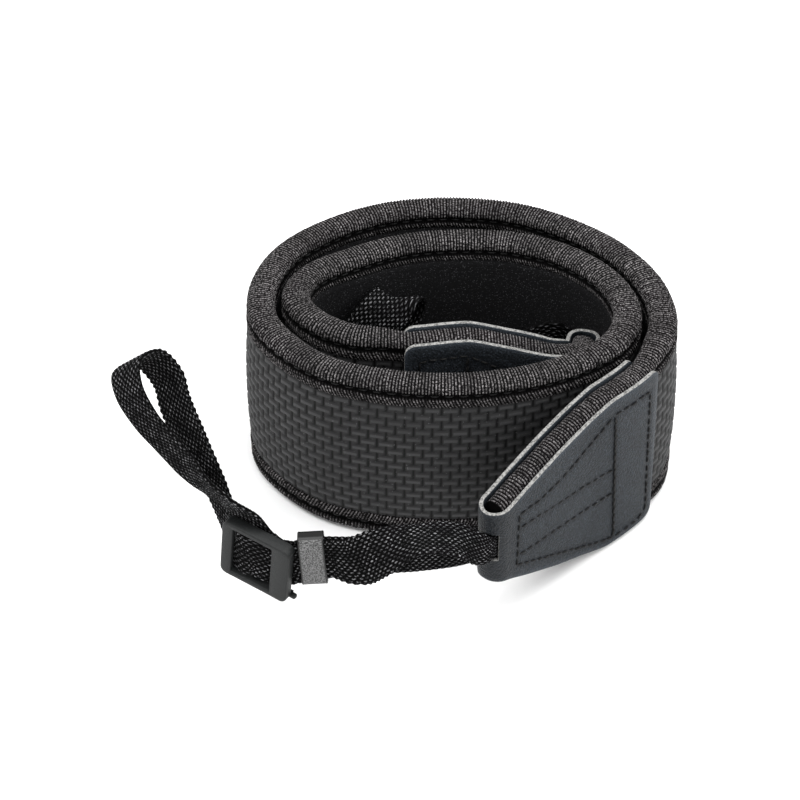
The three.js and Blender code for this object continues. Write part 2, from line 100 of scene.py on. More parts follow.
# Webbing: x, y, z of its middle, the direction across it, and its width. These are the solids' routes, apart from
# the rows at the outer buckle and the loop's limbs, up to 2.9 from them, which fit the photo closer.
WEB_OUTER = [
    # front strand, from the slot to the keeper
    (17.8, -39.9, 19.0, 0, 0, 1, 5.2),
    (17.0, -41.7, 19.0, 0, 0, 1, 5.2),
    (15.2, -43.7, 20.0, 0, 0.3, 1, 5.8),
    (10.5, -45.2, 24.0, 0, 1, 0.25, 7.6),
    (3.5, -46.1, 24.9, 0, 1, -0.12, 9.4),
    (-3.0, -46.4, 22.2, 0, 0.8, 0.55, 9.6),
    (-8.5, -45.1, 18.4, 0, 0.2, 1, 9.6),
    (-12.5, -43.2, 17.4, 0, 0, 1, 9.6),
    (-16.0, -43.1, 17.1, 0, 0, 1, 9.6),
    (-18.4, -42.9, 16.1, 0, 0, 1, 7.6),
    # buckle: behind the right bar, over the centre bar, behind the left bar
    (-21.4, -41.6, 14.55, 0, 0, 1, 9.8),
    (-24.2, -41.2, 14.85, 0, 0, 1, 10.0),
    (-26.7, -40.4, 15.4, 0, 0, 1, 9.2),
    (-28.9, -39.2, 15.2, 0, 0, 1, 10.1),
    (-30.6, -36.7, 15.4, 0, 0, 1, 9.8),
    # right limb of the lug loop
    (-31.6, -34.3, 18.9, 0.2, -0.12, 0.95, 7.2),
    (-33.5, -31.3, 23.2, 0.5, -0.35, 0.79, 6.8),
    (-36.0, -29.0, 27.2, 0.61, -0.38, 0.69, 8.8),
    (-38.8, -25.2, 31.7, 0.61, -0.38, 0.69, 9.8),
    (-41.3, -21.2, 36.1, 0.61, -0.38, 0.69, 9.8),
    (-42.7, -18.0, 39.4, 0.61, -0.38, 0.69, 9.8),
    (-46.2, -16.6, 43.0, 0.61, -0.38, 0.69, 9.8),
    # left limb
    (-49.8, -20.4, 44.0, 0.61, -0.38, 0.69, 9.8),
    (-49.4, -24.0, 41.6, 0.61, -0.38, 0.69, 8.8),
    (-46.4, -27.4, 37.4, 0.61, -0.38, 0.69, 7.9),
    (-42.4, -29.5, 33.0, 0.61, -0.38, 0.69, 7.4),
    (-39.2, -30.9, 29.4, 0.6, -0.42, 0.69, 7.4),
    (-35.6, -33.8, 27.1, 0.4, -0.6, 0.69, 6.4),
    (-31.3, -36.6, 25.3, 0.15, -0.6, 0.78, 6.8),
    (-28.0, -37.3, 21.9, 0.1, -0.3, 0.95, 8.2),
    (-25.1, -38.1, 17.2, 0, -0.1, 1, 8.6),
    # rear strand, straight behind the buckle and back to the slot
    (-21.6, -39.8, 15.4, 0, 0, 1, 7.6),
    (-18.6, -41.7, 16.2, 0, 0, 1, 8.4),
    (-16.0, -41.9, 17.1, 0, 0, 1, 9.6),
    (-13.4, -42.0, 17.2, 0, 0, 1, 9.6),
    (-8.0, -42.3, 17.4, 0, 0, 1, 9.6),
    (2.4, -42.5, 18.2, 0, 0, 1, 9.4),
    (10.5, -42.5, 18.7, 0, 0, 1, 7.4),
    (14.4, -41.8, 18.9, 0, 0, 1, 5.6),
    (15.7, -40.8, 19.0, 0, 0, 1, 5.2),
    (16.3, -39.7, 19.0, 0, 0, 1, 5.2),
]

WEB_INNER = [
    # front strand, from the slot to the keeper
    (34.6, 9.8, 19.0, 0, 0, 1, 5.2),
    (34.6, 11.8, 19.0, 0, 0, 1, 5.2),
    (33.2, 13.7, 19.9, 0, 0, 1, 5.6),
    (29.6, 13.9, 22.8, 0, 0, 1, 8.6),
    (24.4, 12.9, 21.0, 0, 0, 1, 9.6),
    (18.4, 12.4, 17.0, 0, 0, 1, 9.6),
    (13.4, 12.4, 15.0, 0, 0, 1, 9.6),
    (9.5, 12.4, 14.6, 0, 0, 1, 9.6),
    # buckle: behind the right bar, over the centre bar, behind the left bar
    (6.4, 12.4, 14.4, 0, 0, 1, 9.2),
    (3.0, 12.35, 14.1, 0, 0, 1, 9.4),
    (0.6, 12.0, 14.0, 0, 0, 1, 9.4),
    (-1.8, 11.5, 14.0, 0, 0, 1, 9.4),
    (-4.3, 12.2, 14.1, 0, 0, 1, 9.2),
    (-6.6, 13.7, 14.9, 0, 0, 1, 7.6),
    # lug loop, turned face on at its top
    (-8.5, 14.3, 17.6, 0.5, 0, 0.9, 7.0),
    (-8.6, 14.0, 20.9, 0.9, 0, 0.5, 8.4),
    (-6.0, 14.2, 25.0, 1, 0, 0.15, 9.6),
    (-2.4, 15.7, 28.6, 1, 0, 0, 9.8),
    (-0.4, 17.5, 29.6, 1, 0, 0, 9.8),
    (0.4, 19.0, 27.6, 1, 0, 0, 9.8),
    (-0.8, 18.8, 23.0, 1, 0, 0.2, 9.0),
    (-2.8, 17.8, 18.8, 0.7, 0, 0.7, 6.6),
    (-2.6, 16.6, 16.0, 0.3, 0, 1, 5.4),
    # rear strand, straight behind the buckle and back to the slot
    (0.4, 15.0, 14.6, 0, 0, 1, 7.4),
    (5.5, 14.1, 14.4, 0, 0, 1, 9.4),
    (9.5, 13.6, 14.6, 0, 0, 1, 9.6),
    (14.5, 14.2, 15.0, 0, 0, 1, 9.6),
    (22.0, 16.4, 17.2, 0, 0, 1, 9.6),
    (28.0, 17.4, 18.6, 0, 0, 1, 8.4),
    (32.6, 16.4, 18.9, 0, 0, 1, 6.2),
    (35.6, 13.8, 19.0, 0, 0, 1, 5.2),
    (36.2, 11.8, 19.0, 0, 0, 1, 5.2),
    (36.0, 9.8, 19.0, 0, 0, 1, 5.2),
]

# Where each keeper and buckle sits: middle, turn about the upright and drop of its right end, in degrees.
KEEPER_PLACES = {"outer": (-15.9, -42.5, 17.1, 0.0, 4.0), "inner": (9.5, 13.0, 14.6, 0.0, 0.0)}
BUCKLE_PLACES = {"outer": (-26.75, -41.55, 15.35, -32.7, -5.0), "inner": (-1.2, 10.55, 14.0, 0.0, 0.0)}

# Keeper: length, depth, height and wall.
KEEPER_SIZE = (4.8, 3.7, 11.4, 0.5)

# Buckle: length, height, depths of the upper and lower flange, widths of the left and right bar, heights of the
# flanges, thicknesses of the left and right bar, and the corners' radius. Its middle lies BUCKLE_DROP below its place.
BUCKLE_SIZES = {
    "outer": (14.7, 12.9, 2.6, 3.0, 2.3, 3.8, 1.1, 1.1, 1.9, 1.4),
    "inner": (14.7, 12.9, 2.6, 3.0, 2.3, 3.8, 1.1, 1.1, 1.1, 1.4),
}
BUCKLE_DROP = 0.35
# The buckle's centre bar and hook: limits along it, into the part and up, and the radius of their edges.
CENTRE_BAR = ((-1.6, 0.4), (1.75, 2.55), (-6.2, 5.6), 0.3)
HOOK = ((6.5, 8.3), (1.6, 2.75), (-6.55, -5.6), 0.38)

# Sewing: pitch, length and thickness of a stitch on the leather and in the bindings' grooves.
LEATHER_STITCH = (1.95, 1.65, 0.4)
GROOVE_STITCH = (2.6, 1.9, 0.42)
GROOVE_DOWN = 2.73

# Section of the folded edge binding, from the outer hem's end over the edge to the inner hem's end:
# share of the half thickness, offset from there, distance down from the edge.
BINDING_SECTION = [
    # share, offset, down: outer hem and stitch groove
    (1, -0.42, 5.12), (1, -0.12, 5.10), (1, 0.02, 4.86), (1, 0.07, 4.40), (1, 0.05, 3.85), (1, -0.03, 3.42),
    (1, -0.40, 3.16), (1, -0.72, 2.92), (1, -0.72, 2.46), (1, -0.34, 2.16), (1, -0.03, 1.85),
    # round over the edge
    (0.985, 0, 1.50), (0.93, 0, 1.02), (0.80, 0, 0.58), (0.58, 0, 0.22), (0.30, 0, 0.04), (0, 0, 0),
    (-0.30, 0, 0.04), (-0.58, 0, 0.22), (-0.80, 0, 0.58), (-0.93, 0, 1.02), (-0.985, 0, 1.50),
    # inner groove and hem
    (-1, 0.03, 1.85), (-1, 0.28, 2.18), (-1, 0.60, 2.48), (-1, 0.60, 2.88), (-1, 0.20, 3.12), (-1, 0.0, 3.40),
    (-1, 0.0, 3.90), (-1, 0.12, 4.34), (-1, 0.42, 4.40),
]

# Stitch lines on a leather end: distance from the fold and height, corner by corner.
STITCH_LINES = [
    [(2.8, 24.5), (8.4, 24.8), (15.1, 26.7), (21.8, 29.8), (27.5, 32.9)],
    [(2.4, 12.1), (2.8, 24.5)],
    [(2.5, 12.3), (11.0, 9.0), (19.0, 5.6), (24.5, 3.6), (29.4, 2.3)],
    [(28.2, 33.1), (29.2, 2.3)],
    [(28.45, 32.6), (29.4, 2.8)],
    [(28.2, 33.3), (37.6, 33.0), (38.2, 3.4), (35.9, 2.3), (29.8, 2.3)],
    [(3.1, 21.2), (15.8, 20.6), (28.5, 19.8)],
    [(2.9, 14.6), (15.9, 14.3), (28.8, 13.8)],
]


# ---------------------------------------------------------------- curves and meshes


def spline(points, per):
    """A centripetal Catmull-Rom curve: between two neighbours it is the cubic whose end slopes come from the
    differences to the points around, each divided by the square root of its distance. Gives per points a gap."""
    p = np.asarray(points, float)
    p = np.vstack([2 * p[0] - p[1], p, 2 * p[-1] - p[-2]])
    gap = np.linalg.norm(np.diff(p[:, :3], axis=0), axis=1)[:, None] ** 0.5
    a, b, c, d = p[:-3], p[1:-2], p[2:-1], p[3:]
    before, here, after = gap[:-2], gap[1:-1], gap[2:]
    slope_b = ((b - a) / before - (c - a) / (before + here) + (c - b) / here) * here
    slope_c = ((c - b) / here - (d - b) / (here + after) + (d - c) / after) * here
    t = (np.arange(per) / per)[None, :, None]
    b, c, slope_b, slope_c = (x[:, None] for x in (b, c, slope_b, slope_c))
    body = (
        b * (2 * t**3 - 3 * t**2 + 1)
        + slope_b * (t**3 - 2 * t**2 + t)
        + c * (3 * t**2 - 2 * t**3)
        + slope_c * (t**3 - t**2)
    )
    return np.vstack([body.reshape(-1, p.shape[1]), p[-2]])


def unit(v):
    """Each vector divided by its length."""
    return v / np.maximum(np.linalg.norm(v, axis=-1, keepdims=True), 1e-12)


def travelled(line):
    """Distance along a line of points, summed from its start."""
    return np.concatenate([[0], np.cumsum(np.linalg.norm(np.diff(line, axis=0), axis=1))])


def smooth(low, high, x):
    """0 below low, 1 above high, and 3 t squared less 2 t cubed in between."""
    t = np.clip((x - low) / (high - low), 0, 1)
    return t * t * (3 - 2 * t)


LINE = spline(ROUTE, 100)
RUN = travelled(LINE)
ALONG = unit(np.gradient(LINE, RUN, axis=0))
LENGTH = RUN[-1]


def place(s, out, z):
    """A point of the strap: the route's point at distance s, moved out along the route's right-hand normal and up
    to z. Past both ends the route runs on straight."""
    s, out, z = np.broadcast_arrays(s, out, z)
    inside = np.clip(s, 0, LENGTH)
    x, y = (np.interp(inside, RUN, LINE[:, k]) for k in (0, 1))
    ax, ay = (np.interp(inside, RUN, ALONG[:, k]) for k in (0, 1))
    past = s - inside
    return (np.stack([x + ax * past + ay * out, y + ay * past - ax * out, z], -1) + SHIFT) * MM


OUTLINE_AT = np.linspace(-4.4, LEATHER_RUN, 400)
WEIGHTS = np.hanning(35)[1:-1]
OUTLINE = np.pad(np.interp(OUTLINE_AT, *zip(*LEATHER_HALF[:-1])), 16, "edge")
OUTLINE = np.convolve(OUTLINE, WEIGHTS / WEIGHTS.sum(), "valid")


def leather_outline(distance):
    """Half height of the leather before its corners are cut, with the table's kinks averaged over 3 millimetres."""
    return np.interp(distance, OUTLINE_AT, OUTLINE)


def strap_size(s):
    """Half thickness, top, bottom and hem share of the strap: full in the middle, and blended over a few
    millimetres into the thinner, tapered stretch inside each leather end."""
    tip = np.minimum(s, LENGTH - s)
    full = smooth(38, 46, tip)
    leather = leather_outline(tip) + 0.2
    middle = TIP_MIDDLE + (HEIGHT / 2 - TIP_MIDDLE) * full
    half_height = leather + (HEIGHT / 2 - leather) * full
    half = HALF_TIP + (HALF - HALF_TIP) * smooth(40.6, 48, tip)
    return half, middle + half_height, middle - half_height, 0.7 + 0.3 * smooth(4, 20, tip)


class Shape:
    """Grids of points and the faces between them, collected into one mesh."""

    def __init__(self):
        self.points, self.loops, self.sizes, self.uvs, self.slots = [], [], [], [], []
        self.values = {}
        self.count = 0

    def add(self, points, faces, sizes, uv, slot=0, **values):
        """Adds points, and faces given as one run of corner numbers with the size of each face."""
        for name in sorted(set(self.values) | set(values)):
            self.values.setdefault(name, [np.zeros(self.count)])
            self.values[name].append(np.broadcast_to(values.get(name, 0.0), len(points)).astype(float))
        self.points.append(points)
        self.loops.append(faces + self.count)
        self.sizes.append(sizes)
        self.uvs.append(uv)
        self.slots.append(np.full(len(sizes), slot))
        self.count += len(points)

    def grid(self, points, uv=None, wrap=(False, False), caps=False, slot=0, **values):
        """A grid of points, n by m, with a quad in each cell. wrap joins the last row or column to the first, and
        caps closes the first and last row. Faces are turned so that the closed shape has a positive volume."""
        n, m = points.shape[:2]
        rows, cols = n - 1 + wrap[0], m - 1 + wrap[1]
        i, j = np.meshgrid(np.arange(rows), np.arange(cols), indexing="ij")
        corners = [(i, j), (i + 1, j), (i + 1, j + 1), (i, j + 1)]
        quads = np.stack([(a % n) * m + b % m for a, b in corners], -1).reshape(-1, 4)
        if uv is None:
            uv = np.zeros((n + wrap[0], m + wrap[1], 2))
        texture = np.stack([uv[a, b] for a, b in corners], 2).reshape(-1, 4, 2)
        flat = points.reshape(-1, 3)
        corner = [flat[quads[:, k]] - flat.mean(0) for k in range(4)]
        volume = sum(np.einsum("ij,ij->", corner[0], np.cross(corner[k], corner[k + 1])) for k in (1, 2))
        if volume < 0:
            quads, texture = quads[:, ::-1], texture[:, ::-1]
        faces, sizes, uvs = [quads.ravel()], [np.full(len(quads), 4)], [texture.reshape(-1, 2)]
        if caps:
            for ring, turned in ((np.arange(m), volume < 0), (np.arange(m) + (n - 1) * m, volume >= 0)):
                faces.append(ring[::-1] if turned else ring)
                sizes.append(np.array([m]))
                uvs.append(np.zeros((m, 2)))
        flat_values = {k: np.broadcast_to(v, (n, m)).ravel() for k, v in values.items()}
        self.add(flat, np.concatenate(faces), np.concatenate(sizes), np.concatenate(uvs), slot, **flat_values)

    def build(self, name, materials, cad_nodes, weld=False):
        """Makes the object, which rides on the root body and stands for the CAD nodes named. weld merges points
        that lie in one place, where rays share a corner."""
        mesh = bpy.data.meshes.new(name)
        points, loops, sizes = (np.concatenate(x) for x in (self.points, self.loops, self.sizes))
        mesh.vertices.add(len(points))
        mesh.vertices.foreach_set("co", points.astype(np.float32).ravel())
        mesh.loops.add(len(loops))
        mesh.loops.foreach_set("vertex_index", loops.astype(np.int32))
        mesh.polygons.add(len(sizes))
        mesh.polygons.foreach_set("loop_start", (np.cumsum(sizes) - sizes).astype(np.int32))
        mesh.polygons.foreach_set("material_index", np.concatenate(self.slots).astype(np.int32))
        mesh.polygons.foreach_set("use_smooth", sizes <= 4)
        mesh.update(calc_edges=True)
        layer = mesh.uv_layers.new(name="surface")
        layer.uv.foreach_set("vector", np.concatenate(self.uvs).astype(np.float32).ravel())
        for key, parts in self.values.items():
            values = mesh.attributes.new(key, "FLOAT", "POINT")
            values.data.foreach_set("value", np.concatenate(parts).astype(np.float32))
        if weld:
            work = bmesh.new()
            work.from_mesh(mesh)
            bmesh.ops.remove_doubles(work, verts=work.verts, dist=0.001 * MM)
            work.to_mesh(mesh)
            work.free()
        mesh.validate()
        piece = bpy.data.objects.new(name, mesh)
        bpy.context.scene.collection.objects.link(piece)
        for material in materials:
            mesh.materials.append(material)
        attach(piece, "root")
        if cad_nodes:
            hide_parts(*cad_nodes)
        return piece


# ---------------------------------------------------------------- finishes


def shade(colour, share):
    """The colour, darker for a share below 1 and paler above it."""
    return tuple(share * c for c in colour)


class Value:
    """A shader socket, so that maths on it reads as a plain expression."""

    def __init__(self, finish, socket):
        self.finish, self.socket = finish, socket

    def math(self, operation, first, second):
        return self.finish.node("ShaderNodeMath", {"operation": operation}, {0: first, 1: second})

    def __add__(self, other):
        return self.math("ADD", self, other)

    __radd__ = __add__

    def __sub__(self, other):
        return self.math("SUBTRACT", self, other)

    def __rsub__(self, other):
        return self.math("SUBTRACT", other, self)

    def __mul__(self, other):
        return self.math("MULTIPLY", self, other)

    __rmul__ = __mul__

    def ramp(self, low, high):
        """0 at low and 1 at high, eased in between."""
        return self.finish.node(
            "ShaderNodeMapRange",
            {"interpolation_type": "SMOOTHSTEP"},
            {"Value": self, "From Min": low, "From Max": high},
        )


class Finish:
    """A material and its Principled shader."""

    def __init__(self, name, **constants):
        self.material = bpy.data.materials.new(name)
        self.material.use_nodes = True
        self.tree = self.material.node_tree
        self.shader = self.tree.nodes["Principled BSDF"]
        for key, value in constants.items():
            self.shader.inputs[key.replace("_", " ").title().replace("Ior", "IOR")].default_value = value

    def feed(self, socket, value):
        if isinstance(value, Value):
            self.tree.links.new(value.socket, socket)
        else:
            socket.default_value = value

    def node(self, kind, settings, inputs, out=0):
        """Makes a node: its settings first, then the values or links of its sockets. Gives one output."""
        made = self.tree.nodes.new(kind)
        for key, value in settings.items():
            setattr(made, key, value)
        for key, value in inputs.items():
            self.feed(made.inputs[key], value)
        return Value(self, made.outputs[out])

    def attribute(self, name):
        return self.node("ShaderNodeAttribute", {"attribute_name": name}, {}, "Fac")

    def surface(self, across=1.0, up=1.0):
        """The piece's own UV map, in millimetres, stretched."""
        uv = self.node("ShaderNodeUVMap", {"uv_map": "surface"}, {})
        return self.node("ShaderNodeVectorMath", {"operation": "MULTIPLY"}, {0: uv, 1: (across, up, 1.0)})

    def solid(self):
        """Object coordinates in millimetres."""
        place_of = self.node("ShaderNodeTexCoord", {}, {}, "Object")
        return self.node("ShaderNodeVectorMath", {"operation": "SCALE"}, {0: place_of, "Scale": 1000.0})

    def noise(self, where, scale, detail=2.0, rough=0.5):
        return self.node(
            "ShaderNodeTexNoise", {}, {"Vector": where, "Scale": scale, "Detail": detail, "Roughness": rough}
        )

    def cells(self, where, scale):
        """Distance to the nearest of scattered points."""
        return self.node("ShaderNodeTexVoronoi", {}, {"Vector": where, "Scale": scale}, "Distance")

    def mix(self, share, first, second):
        """A colour between two, by share."""
        ends = [x if isinstance(x, Value) else (*x, 1.0) for x in (first, second)]
        return self.node("ShaderNodeMix", {"data_type": "RGBA"}, {0: share, 6: ends[0], 7: ends[1]}, 2)

    def finish(self, colour, roughness=None, height=None, depth=0.1):
        """Links what varies: base colour, roughness, and a bump from height, depth millimetres deep."""
        self.feed(self.shader.inputs["Base Color"], colour if isinstance(colour, Value) else (*colour, 1.0))
        if roughness is not None:
            self.feed(self.shader.inputs["Roughness"], roughness)
        if height is not None:
            inputs = {"Strength": 1.0, "Distance": depth * MM, "Height": height}
            bump = self.node("ShaderNodeBump", {}, inputs, "Normal")
            self.feed(self.shader.inputs["Normal"], bump)
        return self.material


def elastic_finish(colour):
    """Ribbed elastic, a little warm: its pale broken crests of yarn, brighter in patches, are painted highlights, and
    its near-black gaps between ribs and in the stitch groove are painted shade.
    """
    f = Finish("ribbed_elastic", roughness=0.85, specular_ior_level=0.04)
    rib = f.attribute("rib")
    fine = f.noise(f.surface(), 4.5, 2.0, 0.6)
    strands = f.noise(f.surface(2.0, 2.8), 1.0, 2.0, 0.6).ramp(0.40, 0.62)
    patches = f.noise(f.surface(0.3, 0.3), 0.5, 2.0).ramp(0.3, 0.7)
    # dark is painted shade in the rib valleys and the stitch groove; pale is a painted highlight on the crests.
    dark = shade(colour, 0.035)
    pale = shade(colour, 5.2)
    body = f.mix(rib.ramp(0.4, 1.0) * (0.1 + 0.9 * strands), dark, colour)
    body = f.mix(strands * rib.ramp(0.6, 1.1) * (0.4 + 0.6 * patches) * fine.ramp(0.36, 0.6), body, pale)
    return f.finish(body, 0.72 + 0.2 * fine, strands * 0.7 + fine * 0.4, 0.14)


def knit_finish(colour):
    """Plain knit face: near black, with a fine speckle of loops."""
    f = Finish("plain_knit", roughness=0.95, specular_ior_level=0.08)
    loops = f.cells(f.surface(1.0, 1.3), 2.6)
    grain = f.noise(f.surface(), 2.4, 3.0, 0.65)
    specks = (1.0 - loops.ramp(0.08, 0.38)) * grain.ramp(0.44, 0.60)
    body = f.mix(specks, colour, shade(colour, 13.0))
    return f.finish(body, 0.9 + 0.1 * grain, loops * 0.6 + grain * 0.5, 0.16)


def rubber_finish(colour):
    """Embossed rubber: the dashes paler as a painted highlight, stronger in cloudy patches, the thin gaps darker as
    painted shade, with fine grain and dust specks.
    """
    f = Finish("embossed_rubber", roughness=0.6, specular_ior_level=0.15)
    raised = f.attribute("raised")
    grain = f.noise(f.solid(), 6.0, 3.0, 0.65)
    cloudy = f.noise(f.solid(), 0.09, 2.0).ramp(0.3, 0.7)
    dust = f.noise(f.solid(), 2.3, 1.0, 0.4).ramp(0.71, 0.78)
    # Painted shade in the gaps and pressed lines, then a painted highlight on the dashes.
    body = f.mix(raised.ramp(0.0, 0.48), shade(colour, 0.10), colour)
    body = f.mix(raised.ramp(0.6, 1.0) * (0.4 + 0.6 * cloudy) * (0.5 + grain), body, shade(colour, 2.3))
    body = f.mix(grain.ramp(0.5, 0.75) * 0.3, body, shade(colour, 1.9))
    body = f.mix(dust * 0.4, body, shade(colour, 6.0))
    return f.finish(body, 0.66 - 0.16 * raised + 0.14 * grain, grain, 0.06)


def leather_finish(colour):
    """Slate leather: fine pebble grain, soft cloudy shade, painted shade in the creases beside the stitches, paler
    towards the rim, and painted shade round the fold, which is also glossier."""
    f = Finish("slate_leather", roughness=0.5, specular_ior_level=0.2)
    pebbles = f.cells(f.surface(), 2.9)
    fine = f.noise(f.surface(), 2.8, 3.0, 0.65)
    cloudy = f.noise(f.surface(), 0.11, 3.0, 0.55)
    creases, rim, fold = f.attribute("crease"), f.attribute("rim"), f.attribute("fold")
    dark = shade(colour, 0.25)
    pale = shade(colour, 3.9)
    body = f.mix(cloudy.ramp(0.28, 0.72), shade(colour, 0.75), shade(colour, 1.2))
    body = f.mix(fine.ramp(0.46, 0.70) * (1.0 - 0.5 * fold) * 0.75, body, pale)
    body = f.mix(pebbles.ramp(0.30, 0.55) * 0.7, body, dark)
    body = f.mix(rim * 0.35, body, pale)
    # Painted shade in the creases beside the stitches.
    body = f.mix(creases * 0.55, body, shade(colour, 0.2))
    dust = fine.ramp(0.62, 0.70) * creases.ramp(0.25, 0.8)
    body = f.mix(dust * 0.5, body, shade(colour, 9.0))
    # Painted shade round the fold.
    body = f.mix(fold * 0.5, body, dark)
    return f.finish(body, 0.46 + 0.2 * fine - 0.12 * fold, fine * 0.8 - pebbles * 0.8, 0.22)


def cut_edge_finish(colour):
    """The raw cut edge of the leather: pale fibres over darker pits."""
    f = Finish("pale_cut_edge", roughness=0.9, specular_ior_level=0.1)
    fibres = f.noise(f.solid(), 2.6, 4.0, 0.75)
    body = f.mix(fibres.ramp(0.36, 0.6), shade(colour, 0.25), colour)
    return f.finish(body, 0.9, fibres, 0.2)


def webbing_finish(colour):
    """Narrow woven webbing: black yarn, with broken pale glints painted as highlights where each yarn comes up, and
    painted shade where it dips.
    """
    f = Finish("woven_webbing", roughness=0.8, specular_ior_level=0.03)
    yarn = f.attribute("yarn")
    fibres = f.noise(f.surface(1.0, 1.4), 2.4, 2.0, 0.65)
    # worn is random patches that only make the painted glints stronger or weaker.
    worn = f.noise(f.surface(0.3, 0.3), 1.0, 2.0).ramp(0.35, 0.65)
    glint = yarn.ramp(0.35, 0.85) * fibres.ramp(0.46, 0.60) * (0.3 + 0.7 * worn)
    # Painted shade where a yarn dips under.
    body = f.mix(yarn.ramp(0.0, 0.6), shade(colour, 0.15), colour)
    return f.finish(f.mix(glint, body, shade(colour, 44.0)), 0.65 + 0.3 * fibres, fibres, 0.16)


def keeper_finish(colour):
    """Moulded band: its faces painted paler with a fine sparkling grain, as a painted reflection of light, and its
    smooth rims left near black.
    """
    f = Finish("grained_keeper", roughness=0.45, specular_ior_level=0.3)
    grain = f.noise(f.solid(), 4.4, 2.0, 0.6)
    flat = f.attribute("flat")
    # The faces' pale speckle is a painted reflection of light; the rims keep the dark of the plastic.
    speckle = f.mix(grain.ramp(0.37, 0.63), shade(colour, 0.22), shade(colour, 1.8))
    body = f.mix(flat, shade(colour, 0.07), speckle)
    return f.finish(body, 0.24 + flat * (0.14 + 0.2 * grain), grain * flat, 0.14)


def plastic_finish(colour):
    """Satin moulded plastic with a very fine grain and a few scuffs."""
    f = Finish("moulded_plastic", roughness=0.42, specular_ior_level=0.2)
    grain = f.noise(f.solid(), 5.5, 3.0, 0.6)
    scuffs = f.noise(f.solid(), 1.3, 3.0, 0.7).ramp(0.62, 0.75)
    body = f.mix(grain.ramp(0.35, 0.65), shade(colour, 0.75), shade(colour, 1.25))
    body = f.mix(scuffs * 0.35, body, shade(colour, 2.6))
    return f.finish(body, 0.36 + 0.18 * grain + 0.1 * scuffs, grain, 0.045)


def thread_finish(colour):
    """Sewing thread: black, with a slight twist showing."""
    f = Finish("black_thread", roughness=0.6, specular_ior_level=0.2)
    twist = f.noise(f.solid(), 4.0, 2.0)
    return f.finish(f.mix(twist.ramp(0.45, 0.65), colour, shade(colour, 5.0)), 0.55 + 0.2 * twist, twist, 0.05)


def floor_finish(colour):
    """Plain pale paper."""
    f = Finish("pale_paper", roughness=0.9, specular_ior_level=0.1)
    tone = f.noise(f.solid(), 0.01, 2.0)
    return f.finish(f.mix(tone, shade(colour, 0.985), colour), 0.9)


# ---------------------------------------------------------------- pieces


def ribbed_binding(side, pitch, rib_depth):
    """Edge binding: its section carried along the route, three stations to a rib, each pressed in by the rib's
    depth times one less the rib's wave. side is 1 at the top edge and -1 at the bottom."""
    count = int(round((LENGTH + 0.8) / pitch)) * 3
    s = np.linspace(-0.4, LENGTH + 0.4, count + 1)
    rng = np.random.default_rng(5 if side > 0 else 6)
    number = np.arange(count + 1)
    each = np.clip(rng.normal(0, 1, count // 3 + 2), -1.2, 1.5)[number // 3]
    wave = np.where(number % 3 == 0, 0.0, 1.0 + 0.07 * each)
    s = s + np.where(number % 3 == 0, 0, 0.035 * each)
    half, top, bottom, hem = (x[:, None] for x in strap_size(s))
    share, offset, down = (np.array(x)[None, :] for x in zip(*BINDING_SECTION))
    deeper = np.where(down > HEM_FROM, down - HEM_FROM, 0)
    reach = np.where(share > 0, HEM_OUTER, HEM_INNER)
    hem_scale = (reach * hem - HEM_FROM) / (reach - HEM_FROM)
    down = np.where(down > HEM_FROM, HEM_FROM + deeper * hem_scale, down) + 0 * half
    out = share * half + offset
    # Outward direction of the section, turned a quarter from its own direction.
    d_out, d_down = np.gradient(out, axis=1), np.gradient(down, axis=1)
    size = np.hypot(d_out, d_down) + 1e-9
    groove = smooth(0.15, 0.75, np.abs(down - 2.69))
    press = rib_depth * (1 - wave[:, None]) * (0.3 + 0.7 * groove) + 0.02
    out = out + press * d_down / size
    down = down - press * d_out / size
    down = np.maximum(down, 0.0)
    slant = np.where(share > 0, 0.42, -0.42) * deeper
    inner = half - BINDING_WALL
    back_out = np.concatenate([-inner, -inner, inner, inner], 1)
    back_down = np.concatenate([HEM_INNER * hem, 0 * hem + 0.9, 0 * hem + 0.9, HEM_OUTER * hem], 1)
    out, down = np.concatenate([out, back_out], 1), np.concatenate([down, back_down], 1)
    along = s[:, None] + np.concatenate([slant + 0 * half, 0 * back_out], 1)
    z = top - down if side > 0 else bottom + down
    points = place(along, out, z)
    girth = np.concatenate([[0], np.cumsum(np.hypot(*np.diff([out[count // 2], down[count // 2]], axis=1))), [0]])
    uv = np.stack(np.broadcast_arrays(s[:, None], girth[None, :]), -1)
    # rib is 1 on a crest and 0 in a valley and in the stitch groove; the finish paints highlights on the crests and
    # shade in the valleys and groove from it.
    rib = np.concatenate([np.clip(wave[:, None], 0, 1.3) * groove, 0 * back_out], 1)
    return points, uv, rib


def knit_pad(crown):
    """Foam pad: a flat core with the knit face bowed out on the inward side by a parabola across its height."""
    s = np.arange(3.0, LENGTH - 3.0, 1.1)
    half, top, bottom, hem = (x[:, None] for x in strap_size(s))
    core, face = half - BINDING_WALL - 0.3, half - 0.28
    edge, step = 1.2, HEM_INNER * hem + 0.1
    u = np.linspace(0, 1, 22)[None, :]
    low, high = bottom + step, top - step
    bow = face + crown * (1 - (2 * u - 1) ** 2) * smooth(0, 0.06, np.minimum(u, 1 - u))
    knit_out = -bow + 0 * high
    knit_z = high + (low - high) * u
    out = np.concatenate([core, core, -core, -core, knit_out, -core, -core], 1)
    z = np.concatenate([bottom + edge, top - edge, top - edge, top - step, knit_z, bottom + step, bottom + edge], 1)
    uv = np.stack(np.broadcast_arrays(s[:, None], np.concatenate([z[len(s) // 2], z[len(s) // 2, :1]])[None, :]), -1)
    return place(s[:, None], out, z), uv


